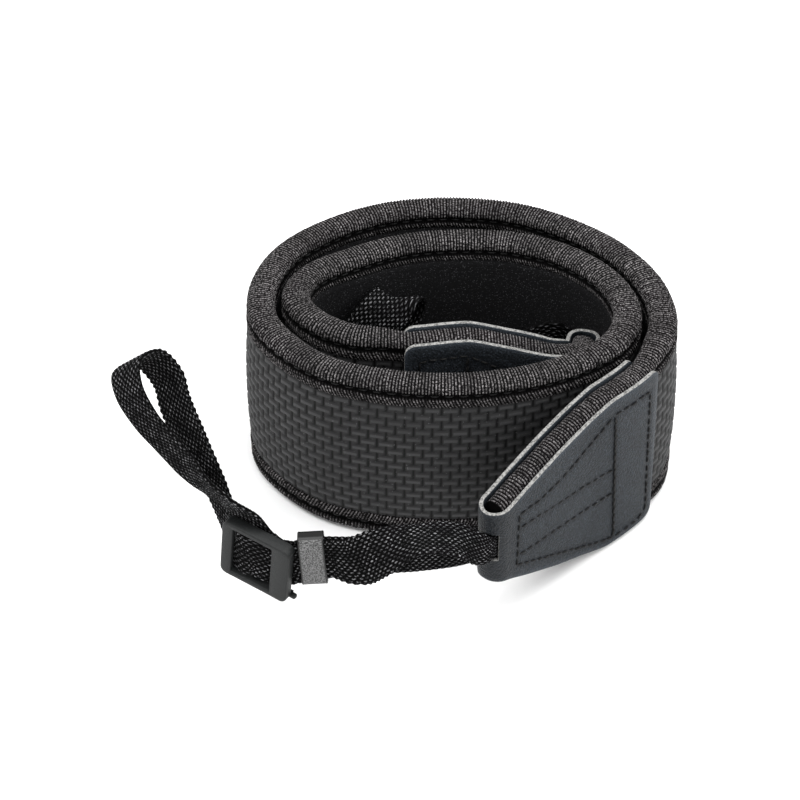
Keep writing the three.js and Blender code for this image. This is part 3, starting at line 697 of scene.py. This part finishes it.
def embossed_panel(period, pitch, depth):
    """Outer face: a basket pattern raised on a crowned strip. A dash fills each row of the brick layout between
    two upright gaps, the gaps run from the dash above to the dash below, and a thin line is pressed above each
    dash. Columns and rows of the grid stand on the pattern's own edges."""
    start, end = LEATHER_RUN + 0.4, LENGTH - LEATHER_RUN - 0.4
    half_period = period / 2
    steps = np.array([0.0, 0.14, 0.30, 0.69, 0.86]) * half_period
    count = int((end - start) / half_period)
    s = start + (np.arange(count)[:, None] * half_period + steps[None, :]).ravel()
    s = np.append(s[s < end - 0.1], end)
    rows = int(round((HEIGHT - 2 * HEM_OUTER - 0.6) / pitch))
    bands = np.array([0.0, 0.16, 0.36, 0.56, 0.78])
    w = np.append((np.arange(rows)[:, None] + bands[None, :]).ravel(), rows)
    from_gap = np.abs((s[:, None] - start) / period - np.floor((s[:, None] - start) / period + 0.5)) * period
    row = np.minimum(np.floor(w), rows - 1)[None, :]
    inside = w[None, :] - row
    own = np.where(row % 2 == 0, from_gap, half_period - from_gap)
    other = half_period - own
    dash = smooth(0.22, 0.50, own) * smooth(0.12, 0.36, inside) * (1 - smooth(0.50, 0.74, inside))
    gap = np.maximum(1 - smooth(0.10, 0.34, own), (1 - smooth(0.10, 0.34, other)) * (inside > 0.6))
    line = smooth(0.4, 0.8, own) * (1 - smooth(0.0, 0.14, inside))
    # raised also sets the colour: painted highlights on the dashes and painted shade in the gaps and lines.
    raised = np.clip(0.5 + 0.5 * dash - 0.5 * gap * (1 - dash) - 0.30 * line, 0, 1)
    half, top, bottom, hem = (x[:, None] for x in strap_size(s))
    edge = HEM_OUTER * hem + 0.1
    share = w[None, :] / rows
    crown = -0.30 + 0.62 * (1 - np.abs(2 * share - 1) ** 2.4)
    worn = 0.75 + 0.25 * np.sin(s[:, None] * 0.11 + 1.0)
    out = half + crown + depth * (raised - 0.6) * worn * smooth(0, 0.03, np.minimum(share, 1 - share))
    z = top - edge - (top - bottom - 2 * edge) * share
    back = half - BINDING_WALL
    out = np.concatenate([out, back, back], 1)
    z = np.concatenate([z, bottom + edge, top - edge], 1)
    raised = np.concatenate([raised, 0 * back, 0 * back], 1)
    uv = np.stack(np.broadcast_arrays(s[:, None], np.append(z[len(s) // 2], z[len(s) // 2, 0])[None, :]), -1)
    return place(s[:, None], out, z), uv, raised


def leather_columns(from_start):
    """Columns of a leather end, from the outward cut edge round the fold to the inward one: where each stands,
    the way it faces, and its distance from the fold, negative within the fold."""
    cut_end = np.linspace(LEATHER_RUN, LEATHER_RUN - 2.4, 10)
    runs = np.concatenate([cut_end, np.arange(LEATHER_RUN - 3.0, 1.0, -0.62), [0.5]])
    tip = 0.0 if from_start else LENGTH
    sign = 1.0 if from_start else -1.0
    foot = place(tip, 0.0, 0.0) / MM
    facing = unit(place(tip, 1.0, 0.0) / MM - foot)
    ahead = unit(place(tip - sign, 0.0, 0.0) / MM - foot)
    turn = np.radians(np.arange(0, 181, 9.0))
    bend = facing * np.cos(turn)[:, None] + ahead * np.sin(turn)[:, None]
    feet = [place(tip + sign * runs, 0.0, 0.0) / MM]
    ways = [place(tip + sign * runs, 1.0, 0.0) / MM - feet[0]]
    feet = np.concatenate([feet[0], np.repeat(foot[None], len(turn), 0), feet[0][::-1]])
    ways = np.concatenate([ways[0], bend, -ways[0][::-1]])
    distance = np.concatenate([runs, -LEATHER_MIDDLE * np.minimum(turn, math.pi - turn), runs[::-1]])
    return feet, ways, distance, np.concatenate([0 * runs, turn, 0 * runs + math.pi])


def from_line(r, z):
    """Distance from each point of the leather to the nearest stitch line, measured to its straight stretches."""
    best = np.full(r.shape, 99.0)
    for line in STITCH_LINES:
        for (r0, z0), (r1, z1) in zip(line, line[1:]):
            size = (r1 - r0) ** 2 + (z1 - z0) ** 2
            t = np.clip(((r - r0) * (r1 - r0) + (z - z0) * (z1 - z0)) / size, 0, 1)
            best = np.minimum(best, np.hypot(r - r0 - t * (r1 - r0), z - z0 - t * (z1 - z0)))
    return best


def leather_half(distance):
    """Half height of the leather at a distance from its fold, less a quarter round at the cut end's corners."""
    corner = 2.2
    past = np.clip(distance - (LEATHER_RUN - corner), 0, corner)
    return leather_outline(distance) - (corner - np.sqrt(corner**2 - past**2))


def leather_sheet(shape, from_start):
    """A leather end: the same sheet of points twice, half a wall out and half a wall in, dented along its stitch
    lines. Walls close it at every cell edge that has no neighbour, round its rim and round the slot."""
    feet, ways, distance, turn = leather_columns(from_start)
    half = leather_half(distance)[:, None]
    low = TIP_MIDDLE - half
    shares = np.linspace(0, 1, 17)
    z = np.concatenate(
        [
            low + (SLOT_LOW - low) * shares[:-1],
            SLOT_LOW + (SLOT_HIGH - SLOT_LOW) * np.linspace(0, 1, 9)[:-1] + 0 * low,
            SLOT_HIGH + (TIP_MIDDLE + half - SLOT_HIGH) * shares,
        ],
        1,
    )
    cols, high = z.shape
    r = distance[:, None] + 0 * z
    flat_part = (r > 0.4).astype(float)
    dent = 0.16 * np.exp(-((from_line(r, z) / 0.45) ** 2)) * flat_part
    swell = 0.16 * np.sin(np.clip(r, 0, 28) / 28 * math.pi) * np.sin(np.clip((z - low) / (2 * half), 0, 1) * math.pi)
    rim = np.minimum(np.minimum(z - low, low + 2 * half - z), LEATHER_RUN - r)
    points = []
    for face in (1, -1):
        thinned = LEATHER_WALL / 2 - 0.1 * np.exp(-((rim / 0.5) ** 2))
        middle = LEATHER_MIDDLE + swell + face * thinned - dent * (face > 0)
        points.append(np.concatenate([feet[:, None, :2] + ways[:, None, :2] * middle[..., None], z[..., None]], -1))
    # place() has already shifted x and y.
    grid = np.concatenate([p.reshape(-1, 3) for p in points]) * MM
    c, k = np.meshgrid(np.arange(cols - 1), np.arange(high - 1), indexing="ij")
    slot = (turn[c] >= math.radians(31)) & (turn[c + 1] <= math.radians(149)) & (turn[c] > 0) & (k >= 16) & (k < 24)
    slot &= turn[c + 1] > turn[c]
    solid = np.pad(~slot, 1)
    number = np.arange(cols * high).reshape(cols, high)
    back = cols * high
    a, b, d, e = number[:-1, :-1], number[1:, :-1], number[1:, 1:], number[:-1, 1:]
    here = solid[1:-1, 1:-1]
    front = np.stack([a, b, d, e], -1)[here]
    behind = np.stack([e, d, b, a], -1)[here] + back
    walls = []
    for open_side, (p, q) in (
        (here & ~solid[1:-1, :-2], (b, a)),
        (here & ~solid[1:-1, 2:], (e, d)),
        (here & ~solid[:-2, 1:-1], (a, e)),
        (here & ~solid[2:, 1:-1], (d, b)),
    ):
        walls.append(np.stack([p, q, q + back, p + back], -1)[open_side])
    walls = np.concatenate(walls)
    # On the outward side the sheet's columns run back towards the fold, which sets which way its faces turn.
    one, two = grid[front[0, 0]], grid[front[0, 1]]
    three = grid[front[0, 2]]
    if np.cross(two - one, three - one)[:2] @ ways[0, :2] < 0:
        front, behind, walls = front[:, ::-1], behind[:, ::-1], walls[:, ::-1]
    uv_of = np.concatenate([np.stack([r, z], -1).reshape(-1, 2)] * 2)
    # crease and fold carry painted shade in the finish; rim makes the faces paler towards the edge.
    values = {
        "crease": np.concatenate([np.exp(-((from_line(r, z) / 0.6) ** 2)).ravel() * flat_part.ravel()] * 2),
        "rim": np.concatenate([np.exp(-((rim / 0.7) ** 2)).ravel()] * 2),
        "fold": np.concatenate([(1 - smooth(-1.0, 4.5, r)).ravel()] * 2),
    }
    quads = np.concatenate([front, behind, walls])
    faces = len(front) + len(behind)
    shape.add(grid, quads.ravel(), np.full(len(quads), 4), uv_of[quads.ravel()], 0, **values)
    shape.slots[-1][faces:] = 1
    return feet, ways, distance


def stitches(shape, centres, along, normal, length, width):
    """Stitches: a rod of six sides for each, thin at its ends and sunk at them, all from one template."""
    t = np.linspace(-0.5, 0.5, 5)
    thin = np.sqrt(np.clip(1 - (2.05 * t) ** 4, 0.02, 1))[:, None]
    turn = np.arange(6) * math.tau / 6
    side = np.cross(normal, along)
    length = np.broadcast_to(length, len(centres))[:, None, None, None]
    rise = width * 0.5 * thin
    points = (
        centres[:, None, None]
        + along[:, None, None] * length * t[None, :, None, None]
        + side[:, None, None] * (rise * np.cos(turn))[None, :, :, None]
        + normal[:, None, None] * (rise * np.sin(turn) - 0.5 * width * (2 * t[:, None]) ** 4)[None, :, :, None]
    )
    i, j = np.meshgrid(np.arange(4), np.arange(6), indexing="ij")
    quads = np.stack([i * 6 + j, i * 6 + (j + 1) % 6, (i + 1) * 6 + (j + 1) % 6, (i + 1) * 6 + j], -1).reshape(-1)
    template = np.concatenate([quads, np.arange(6)[::-1], np.arange(6) + 24])
    sizes = np.array([4] * 24 + [6, 6])
    faces = (template[None, :] + (np.arange(len(centres)) * 30)[:, None]).ravel()
    shape.add(points.reshape(-1, 3) * MM, faces, np.tile(sizes, len(centres)), np.zeros((len(faces), 2)))


def leather_stitches(shape, columns, rng):
    """Stitches along every line on both faces of a leather end: each line is walked at an even pitch, and the
    point is taken from the sheet's columns by its distance from the fold."""
    feet, ways, distance = columns
    pitch, length, width = LEATHER_STITCH
    count = len(distance)
    front = np.arange(count) < count // 2
    for side in (front, ~front):
        keep = side & (distance > 0)
        order = np.argsort(distance[keep])
        runs = distance[keep][order]
        for line in STITCH_LINES:
            path = np.array(line, float)
            gone = travelled(path)
            number = max(2, int(round(gone[-1] / pitch)))
            at = (np.arange(number) + 0.5) / number * gone[-1] + rng.normal(0, 0.09, number)
            ends = [at - 0.75, at + 0.75]
            tips = []
            for spot in ends:
                r, z = (np.interp(spot, gone, path[:, k]) for k in (0, 1))
                foot = np.stack([np.interp(r, runs, feet[keep][order][:, k]) for k in (0, 1)], -1)
                way = unit(np.stack([np.interp(r, runs, ways[keep][order][:, k]) for k in (0, 1)], -1))
                xy = foot + way * (LEATHER_MIDDLE + LEATHER_WALL / 2 + 0.04)
                tips.append(np.column_stack([xy, z + rng.normal(0, 0.08, number)]))
            centre = (tips[0] + tips[1]) / 2
            along = unit(tips[1] - tips[0])
            stitches(shape, centre, along, np.column_stack([way, 0 * z]), length + rng.normal(0, 0.1, number), width)


def groove_stitches(shape, side):
    """Stitches lying in the groove of a binding, on both faces of the strap."""
    pitch, length, width = GROOVE_STITCH
    s = np.arange(44.0, LENGTH - 44.0, pitch)
    half, top, bottom = strap_size(s)[:3]
    z = top - GROOVE_DOWN if side > 0 else bottom + GROOVE_DOWN
    for face, sunk in ((1, 0.6), (-1, 0.48)):
        tips = [place(s + d, face * (half - sunk), z) / MM for d in (-0.8, 0.8)]
        normal = unit(place(s, face, z) / MM - place(s, 0.0, z) / MM)
        stitches(shape, (tips[0] + tips[1]) / 2, unit(tips[1] - tips[0]), normal, length, width)


def ribbon(table, period, yarn_width):
    """Webbing: a flat section carried along its table's curve at even steps. Its faces rise and fall as a weave,
    by a cosine along the ribbon that is half a period late on every other yarn, and its edges are scalloped."""
    rows = np.array(table, float)
    per = 80
    line = spline(rows[:, :3], per)
    gone = travelled(line)
    steps = int(gone[-1] / period * YARN_STEPS)
    at = np.linspace(0, gone[-1], steps)
    step = np.interp(at, gone, np.arange(len(line)) / per)
    middle = np.stack([np.interp(at, gone, line[:, k]) for k in range(3)], -1)
    along = unit(np.gradient(middle, at, axis=0))
    # Directions and widths are blended straight from row to row, then averaged over a millimetre.
    knots = np.arange(len(rows))
    spread = max(1, int(0.5 / (gone[-1] / steps)))
    blended = np.column_stack([unit(rows[:, 3:6]), rows[:, 6]])
    blended = np.stack([np.interp(step, knots, blended[:, k]) for k in range(4)], -1)
    padded = np.pad(blended, ((spread, spread), (0, 0)), "edge")
    total = np.cumsum(np.vstack([np.zeros((1, 4)), padded]), axis=0)
    blended = (total[2 * spread + 1 :] - total[: -2 * spread - 1]) / (2 * spread + 1)
    across, width = blended[:, :3], blended[:, 3]
    across = unit(across - along * np.sum(across * along, 1, keepdims=True))
    face = np.cross(along, across)
    yarns = int(round(WEB_WIDTH / yarn_width))
    u = np.linspace(-1, 1, yarns * 3 + 1)
    yarn = np.minimum(np.floor((u + 1) / 2 * yarns), yarns - 1)
    within = (u + 1) / 2 * yarns - yarn
    phase = at[:, None] / period * math.tau + math.pi * (yarn[None, :] % 2)
    belly = np.sin(np.clip(within, 0, 1) * math.pi)[None, :]
    # lift is high where a yarn comes up; the finish paints glints there and shade where it dips.
    parts_out, parts_up, lift = [], [], []
    for way in (1, -1):
        up = 0.5 + 0.5 * np.cos(phase + (0 if way > 0 else math.pi))
        high = belly * up**0.7
        edge = np.sqrt(np.clip(1 - np.abs(u) ** 14, 0, 1))[None, :]
        scallop = 1 - 0.05 * (0.5 + 0.5 * np.cos(at * math.tau / period))[:, None] * (np.abs(u)[None, :] > 0.9)
        out = u[None, :] * width[:, None] / 2 * scallop
        parts_out.append(out if way > 0 else out[:, ::-1][:, 1:-1])
        level = way * (WEB_THICK / 2 - 0.17 + 0.25 * high) * edge
        parts_up.append(level if way > 0 else level[:, ::-1][:, 1:-1])
        lift.append(high if way > 0 else high[:, ::-1][:, 1:-1])
    out, up, lift = (np.concatenate(x, 1) for x in (parts_out, parts_up, lift))
    points = (middle[:, None] + across[:, None] * out[..., None] + face[:, None] * up[..., None] + SHIFT) * MM
    girth = np.concatenate([u, 2 - u[::-1][1:-1], [3]]) * WEB_WIDTH / 2
    uv = np.stack(np.broadcast_arrays(at[:, None], girth[None, :]), -1)
    return points, uv, lift


def seat(points, where):
    """Local points, x along the strap, y into the part and z up, with the right end dropped by a turn about y,
    then turned about the upright, then moved to their place."""
    x, y, z, turn, drop = where
    t, d = math.radians(turn), math.radians(-drop)
    about_y = np.array([[math.cos(d), 0, math.sin(d)], [0, 1, 0], [-math.sin(d), 0, math.cos(d)]])
    about_z = np.array([[math.cos(t), -math.sin(t), 0], [math.sin(t), math.cos(t), 0], [0, 0, 1]])
    return (points @ (about_z @ about_y).T + np.array([x, y, z]) + SHIFT) * MM


def soft_box(x, y, z, radius, n=24, m=12):
    """A box with rounded edges: a ball's surface pushed apart to the box's corners. x, y and z are its limits, and
    the rows stop short of the ball's poles, so that a flat cap closes each end."""
    rise = ((np.arange(m) + 0.5) / m * math.pi - math.pi / 2)[:, None]
    turn = ((np.arange(n) + 0.5) / n * math.tau)[None, :]
    ball = np.stack(np.broadcast_arrays(np.cos(rise) * np.cos(turn), np.cos(rise) * np.sin(turn), np.sin(rise)), -1)
    low, high = np.array([x[0], y[0], z[0]]), np.array([x[1], y[1], z[1]])
    middle, reach = (low + high) / 2, (high - low) / 2 - radius
    pushed = np.sign(ball) * np.minimum(np.abs(ball) * 40, 1)
    return middle + pushed * reach + ball * radius


def ring_path(width, height, radius, n):
    """A rounded rectangle's outline, anticlockwise from the middle of its bottom, with its outward normals."""
    a, b = width / 2 - radius, height / 2 - radius
    arc = np.linspace(0, math.pi / 2, n)
    corners = [(a, -b, -90), (a, b, 0), (-a, b, 90), (-a, -b, 180)]
    points, normals = [], []
    for cx, cy, start in corners:
        turn = math.radians(start) + arc
        points.append(np.column_stack([cx + radius * np.cos(turn), cy + radius * np.sin(turn)]))
        normals.append(np.column_stack([np.cos(turn), np.sin(turn)]))
    return np.concatenate(points), np.concatenate(normals)


def keeper_band(length, depth, height, wall):
    """A flattened band: a small rounded section carried round a rounded rectangle."""
    path, normal = ring_path(depth, height, 1.45, 8)
    # More stations along the flats, by straight steps between the outline's points.
    fine = np.linspace(0, len(path), 84, endpoint=False)
    closed = np.vstack([path, path[:1]])
    closed_normal = np.vstack([normal, normal[:1]])
    path = np.stack([np.interp(fine, np.arange(len(closed)), closed[:, k]) for k in (0, 1)], -1)
    normal = unit(np.stack([np.interp(fine, np.arange(len(closed)), closed_normal[:, k]) for k in (0, 1)], -1))
    corners, _ = ring_path(length, wall, 0.24, 5)
    corners = np.vstack([corners, corners[:1]])
    section_run = travelled(corners)
    marks = np.unique(np.concatenate([section_run[:-1], np.linspace(0, section_run[-1], 40, endpoint=False)]))
    marks = marks[np.diff(marks, prepend=-1) > 0.01]
    section = np.stack([np.interp(marks, section_run, corners[:, k]) for k in (0, 1)], -1)
    rim = np.abs(section[:, 0]) / (length / 2)
    lip = 0.04 * smooth(0.84, 0.92, rim) * (section[:, 1] > 0)
    y = path[:, None, 0] + normal[:, None, 0] * (section[None, :, 1] - wall / 2 + lip)
    z = path[:, None, 1] + normal[:, None, 1] * (section[None, :, 1] - wall / 2 + lip)
    x = section[None, :, 0] + 0 * y
    # flat marks the faces, which the finish paints paler as a reflection of light.
    flat = (1 - smooth(0.80, 0.90, rim))[None, :] * smooth(0.5, 0.62, np.abs(normal[:, :1]))
    return np.stack([x, y, z], -1), flat + 0 * x


def buckle_frame(size):
    """The buckle's frame: rays from its window's outline to its outer outline, each with a front face, a rounded
    outer edge, a back and a rounded inner edge. The rays of the side bars are plates, and all the rays above and
    below the window's height are as deep as the flanges."""
    length, height, *depths, left, right, flange, left_plate, right_plate, corner = size
    x0, x1 = -length / 2 + left, length / 2 - right
    top = height / 2 - flange
    # The corner's arc starts at the window's height, and a plate's end follows the same arc below it.
    arc = np.linspace(math.asin(max(0.0, 1 - flange / corner)), math.pi / 2, 7)
    inner, outer, deep = [], [], []

    def ray(i, o, d):
        inner.append(i)
        outer.append(o)
        deep.append(d)

    ends = ((1, x1, length / 2, right_plate), (-1, x0, -length / 2, left_plate))
    for (side, edge, bound, plate), depth in zip(ends, depths):
        for z in np.linspace(-side * (top - 0.03), side * (top - 0.03), 16):
            over = max(0.0, abs(z) - (height / 2 - corner))
            ray((edge, z), (bound - side * (corner - math.sqrt(corner**2 - over**2)), z), plate)
        for turn in arc:
            ox = bound - side * corner * (1 - math.cos(turn))
            ray((edge, side * top), (ox, side * (height / 2 - corner * (1 - math.sin(turn)))), depth)
        for x in np.linspace(edge, x0 if side > 0 else x1, 14):
            ray((x, side * top), (x, side * height / 2), depth)
        other, far = (x0, -length / 2) if side > 0 else (x1, length / 2)
        for turn in arc[::-1]:
            ox = far + side * corner * (1 - math.cos(turn))
            ray((other, side * top), (ox, side * (height / 2 - corner * (1 - math.sin(turn)))), depth)
    inner, outer, deep = np.array(inner), np.array(outer), np.array(deep)[:, None]
    far = np.linalg.norm(outer - inner, axis=1)[:, None]
    way = (outer - inner) / far
    # Every edge is rounded by a radius r in two steps.
    r = 0.26
    q, nil = r * (1 - math.sqrt(0.5)), 0 * far
    outward = [nil, q + nil, r + nil, far / 2, far - r, far - q, far]
    front = [r + nil, q + nil, nil, nil, nil, q + nil, r + nil]
    inset = np.concatenate(outward + outward[::-1], 1)
    into = np.concatenate(front + [deep - x for x in front], 1)
    x = inner[:, :1] + way[:, :1] * inset
    z = inner[:, 1:] + way[:, 1:] * inset - BUCKLE_DROP
    return np.stack([x, into, z], -1)


# ---------------------------------------------------------------- settings


def length_setting(name, description, default):
    return FloatProperty(name=name, description=description, default=default, unit="LENGTH")


def colour_setting(name, description, default):
    return FloatVectorProperty(name=name, description=description, default=default, subtype="COLOR")


class NeckStrapSettings(bpy.types.PropertyGroup):
    """Sizes of the surface detail and colours of the finishes."""

    rib_pitch: length_setting("Rib pitch", "Distance from rib to rib of the elastic", 0.00059)
    rib_depth: length_setting("Rib depth", "Height of the elastic's ribs", 0.00026)
    weave_period: length_setting("Emboss period", "Distance from dash to dash along the face", 0.00329)
    weave_pitch: length_setting("Emboss row pitch", "Distance between rows of dashes", 0.0017)
    weave_depth: length_setting("Emboss depth", "Height of the dashes over the gaps", 0.00034)
    knit_crown: length_setting("Pad crown", "How far the knit face bows out", 0.00035)
    yarn_width: length_setting("Yarn width", "Width of one yarn of the webbing", 0.0006)
    yarn_period: length_setting("Yarn period", "Distance from float to float of one yarn", 0.00120)
    elastic: colour_setting("Elastic", "Colour of the ribbed binding", (0.058, 0.0548, 0.0553))
    knit: colour_setting("Knit", "Colour of the pad's inner face", (0.0085, 0.0085, 0.009))
    rubber: colour_setting("Rubber", "Colour of the embossed face", (0.0215, 0.0215, 0.022))
    leather: colour_setting("Leather", "Colour of the leather ends", (0.0165, 0.0205, 0.0255))
    cut_edge: colour_setting("Cut edge", "Colour of the leather's cut edges", (0.32, 0.317, 0.307))
    webbing: colour_setting("Webbing", "Colour of the webbing's yarn", (0.0058, 0.0058, 0.006))
    keeper: colour_setting("Keeper", "Colour of the keepers", (0.088, 0.088, 0.088))
    plastic: colour_setting("Buckle", "Colour of the buckles", (0.0105, 0.0115, 0.0115))
    thread: colour_setting("Thread", "Colour of the sewing thread", (0.003, 0.003, 0.003))
    floor: colour_setting("Floor", "Colour of the floor", (0.9, 0.9, 0.9))


def settings():
    """The sizes and colours that the sidebar holds."""
    return bpy.context.scene.neck_strap


class StrapStep(bpy.types.Operator):
    """One step of building the strap."""

    bl_options = {"REGISTER", "UNDO"}


class NECKSTRAP_OT_pad(StrapStep):
    """Build the foam pad with its knit inner face"""

    bl_idname = "neck_strap.pad"
    bl_label = "Knit pad"

    def execute(self, context):
        chosen = settings()
        shape = Shape()
        points, uv = knit_pad(chosen.knit_crown / MM)
        shape.grid(points, uv, wrap=(False, True), caps=True)
        piece = shape.build("knit_pad", [knit_finish(tuple(chosen.knit))], ["pad"])
        return {"FINISHED"}


class NECKSTRAP_OT_panel(StrapStep):
    """Build the embossed rubber face"""

    bl_idname = "neck_strap.panel"
    bl_label = "Embossed face"

    def execute(self, context):
        chosen = settings()
        shape = Shape()
        points, uv, raised = embossed_panel(chosen.weave_period / MM, chosen.weave_pitch / MM, chosen.weave_depth / MM)
        shape.grid(points, uv, wrap=(False, True), caps=True, raised=raised)
        shape.build("embossed_face", [rubber_finish(tuple(chosen.rubber))], ["outer_panel"])
        return {"FINISHED"}


class NECKSTRAP_OT_bindings(StrapStep):
    """Build the ribbed binding of both long edges"""

    bl_idname = "neck_strap.bindings"
    bl_label = "Edge bindings"

    def execute(self, context):
        chosen = settings()
        material = elastic_finish(tuple(chosen.elastic))
        for name, side in (("top", 1), ("bottom", -1)):
            shape = Shape()
            points, uv, rib = ribbed_binding(side, chosen.rib_pitch / MM, chosen.rib_depth / MM)
            shape.grid(points, uv, wrap=(False, True), caps=True, rib=rib)
            shape.build("ribbed_binding_" + name, [material], ["binding_" + name])
        return {"FINISHED"}


class NECKSTRAP_OT_leather(StrapStep):
    """Build both leather ends and all the sewing"""

    bl_idname = "neck_strap.leather"
    bl_label = "Leather ends and stitches"

    def execute(self, context):
        chosen = settings()
        leather, edge = leather_finish(tuple(chosen.leather)), cut_edge_finish(tuple(chosen.cut_edge))
        thread = thread_finish(tuple(chosen.thread))
        rng = np.random.default_rng(7)
        for name, from_start in (("outer", True), ("inner", False)):
            shape = Shape()
            columns = leather_sheet(shape, from_start)
            piece = shape.build("leather_" + name, [leather, edge], ["leather_end_" + name])
            bevel = piece.modifiers.new("worn edge", "BEVEL")
            bevel.width, bevel.segments = 0.12 * MM, 2
            bevel.limit_method, bevel.angle_limit = "ANGLE", math.radians(50)
            sewing = Shape()
            leather_stitches(sewing, columns, rng)
            sewing.build("stitches_leather_" + name, [thread], [])
        for name, side in (("top", 1), ("bottom", -1)):
            sewing = Shape()
            groove_stitches(sewing, side)
            sewing.build("stitches_binding_" + name, [thread], [])
        return {"FINISHED"}


class NECKSTRAP_OT_webbing(StrapStep):
    """Build both narrow webbing straps"""

    bl_idname = "neck_strap.webbing"
    bl_label = "Webbing"

    def execute(self, context):
        chosen = settings()
        material = webbing_finish(tuple(chosen.webbing))
        for name, table in (("outer", WEB_OUTER), ("inner", WEB_INNER)):
            shape = Shape()
            points, uv, yarn = ribbon(table, chosen.yarn_period / MM, chosen.yarn_width / MM)
            shape.grid(points, uv, wrap=(False, True), caps=True, yarn=yarn)
            shape.build("woven_webbing_" + name, [material], ["webbing_" + name])
        return {"FINISHED"}


class NECKSTRAP_OT_keepers(StrapStep):
    """Build the keeper of each webbing"""

    bl_idname = "neck_strap.keepers"
    bl_label = "Keepers"

    def execute(self, context):
        material = keeper_finish(tuple(settings().keeper))
        for name, where in KEEPER_PLACES.items():
            shape = Shape()
            points, flat = keeper_band(*KEEPER_SIZE)
            shape.grid(seat(points, where), wrap=(True, True), flat=flat)
            shape.build("moulded_keeper_" + name, [material], ["keeper_" + name])
        return {"FINISHED"}


class NECKSTRAP_OT_buckles(StrapStep):
    """Build the sliding buckle of each webbing"""

    bl_idname = "neck_strap.buckles"
    bl_label = "Buckles"

    def execute(self, context):
        material = plastic_finish(tuple(settings().plastic))
        for name, where in BUCKLE_PLACES.items():
            shape = Shape()
            shape.grid(seat(buckle_frame(BUCKLE_SIZES[name]), where), wrap=(True, True))
            for limits in (CENTRE_BAR, HOOK):
                shape.grid(seat(soft_box(*limits), where), wrap=(False, True), caps=True)
            shape.build("moulded_buckle_" + name, [material], ["buckle_" + name], weld=True)
        return {"FINISHED"}


class NECKSTRAP_OT_stage(StrapStep):
    """Lay the floor, set the lights and aim the camera"""

    bl_idname = "neck_strap.stage"
    bl_label = "Floor, lights and camera"

    def execute(self, context):
        scene = context.scene
        side, steps = 6.0, 3
        span = np.linspace(-side, side, steps)
        mesh = bpy.data.meshes.new("floor")
        points = [(float(x), float(y), 0.0) for x in span for y in span]
        corners = [i * steps + j for i in range(steps - 1) for j in range(steps - 1)]
        quads = [(k, k + steps, k + steps + 1, k + 1) for k in corners]
        mesh.from_pydata(points, [], quads)
        mesh.materials.append(floor_finish(tuple(settings().floor)))
        floor = bpy.data.objects.new("floor", mesh)
        scene.collection.objects.link(floor)
        world = bpy.data.worlds.new("studio")
        world.use_nodes = True
        world.node_tree.nodes["Background"].inputs["Color"].default_value = (1.0, 1.0, 1.0, 1.0)
        world.node_tree.nodes["Background"].inputs["Strength"].default_value = 0.7
        scene.world = world
        aim = Vector((0.0, 0.005, 0.019))
        for name, spot, size, power in (
            ("key", (0.15, 0.05, 0.9), 0.9, 10.0),
            ("left", (-0.6, -0.05, 0.85), 0.5, 5.0),
            ("right", (0.85, -0.1, 0.6), 0.5, 3.5),
            ("front", (0.2, -1.0, 0.45), 0.8, 3.5),
        ):
            light = bpy.data.lights.new(name, "AREA")
            light.shape, light.size, light.energy = "SQUARE", size, power
            lamp = bpy.data.objects.new(name, light)
            lamp.location = spot
            lamp.rotation_euler = (aim - Vector(spot)).to_track_quat("-Z", "Y").to_euler()
            scene.collection.objects.link(lamp)
        camera = bpy.data.objects.new("camera", bpy.data.cameras.new("camera"))
        camera.location = (0.00012, -0.49307, 0.4368)
        sight = Vector((0.00012, 0.00485, 0.019)) - camera.location
        camera.rotation_euler = sight.to_track_quat("-Z", "Y").to_euler()
        camera.data.sensor_width, camera.data.lens = 36.0, 152.6
        camera.data.clip_start, camera.data.clip_end = 0.01, 30.0
        scene.collection.objects.link(camera)
        scene.camera = camera
        scene.view_settings.view_transform = "Standard"
        return {"FINISHED"}


STEPS = (
    NECKSTRAP_OT_stage,
    NECKSTRAP_OT_pad,
    NECKSTRAP_OT_panel,
    NECKSTRAP_OT_bindings,
    NECKSTRAP_OT_leather,
    NECKSTRAP_OT_webbing,
    NECKSTRAP_OT_keepers,
    NECKSTRAP_OT_buckles,
)


class NECKSTRAP_PT_steps(bpy.types.Panel):
    """The strap's pieces, in the sidebar"""

    bl_idname = "NECKSTRAP_PT_steps"
    bl_label = "Neck strap"
    bl_space_type = "VIEW_3D"
    bl_region_type = "UI"
    bl_category = "Neck strap"

    def draw(self, context):
        for key in NeckStrapSettings.__annotations__:
            self.layout.prop(context.scene.neck_strap, key)
        for step in STEPS:
            self.layout.operator(step.bl_idname)


CLASSES = (NeckStrapSettings, *STEPS, NECKSTRAP_PT_steps)


def register():
    for cls in CLASSES:
        bpy.utils.register_class(cls)
    bpy.types.Scene.neck_strap = PointerProperty(type=NeckStrapSettings)


def unregister():
    del bpy.types.Scene.neck_strap
    for cls in reversed(CLASSES):
        bpy.utils.unregister_class(cls)


def main():
    """Registers the add-on, then builds everything."""
    register()
    for step in STEPS:
        group, name = step.bl_idname.split(".")
        getattr(getattr(bpy.ops, group), name)()


if __name__ == "__main__":
    main()
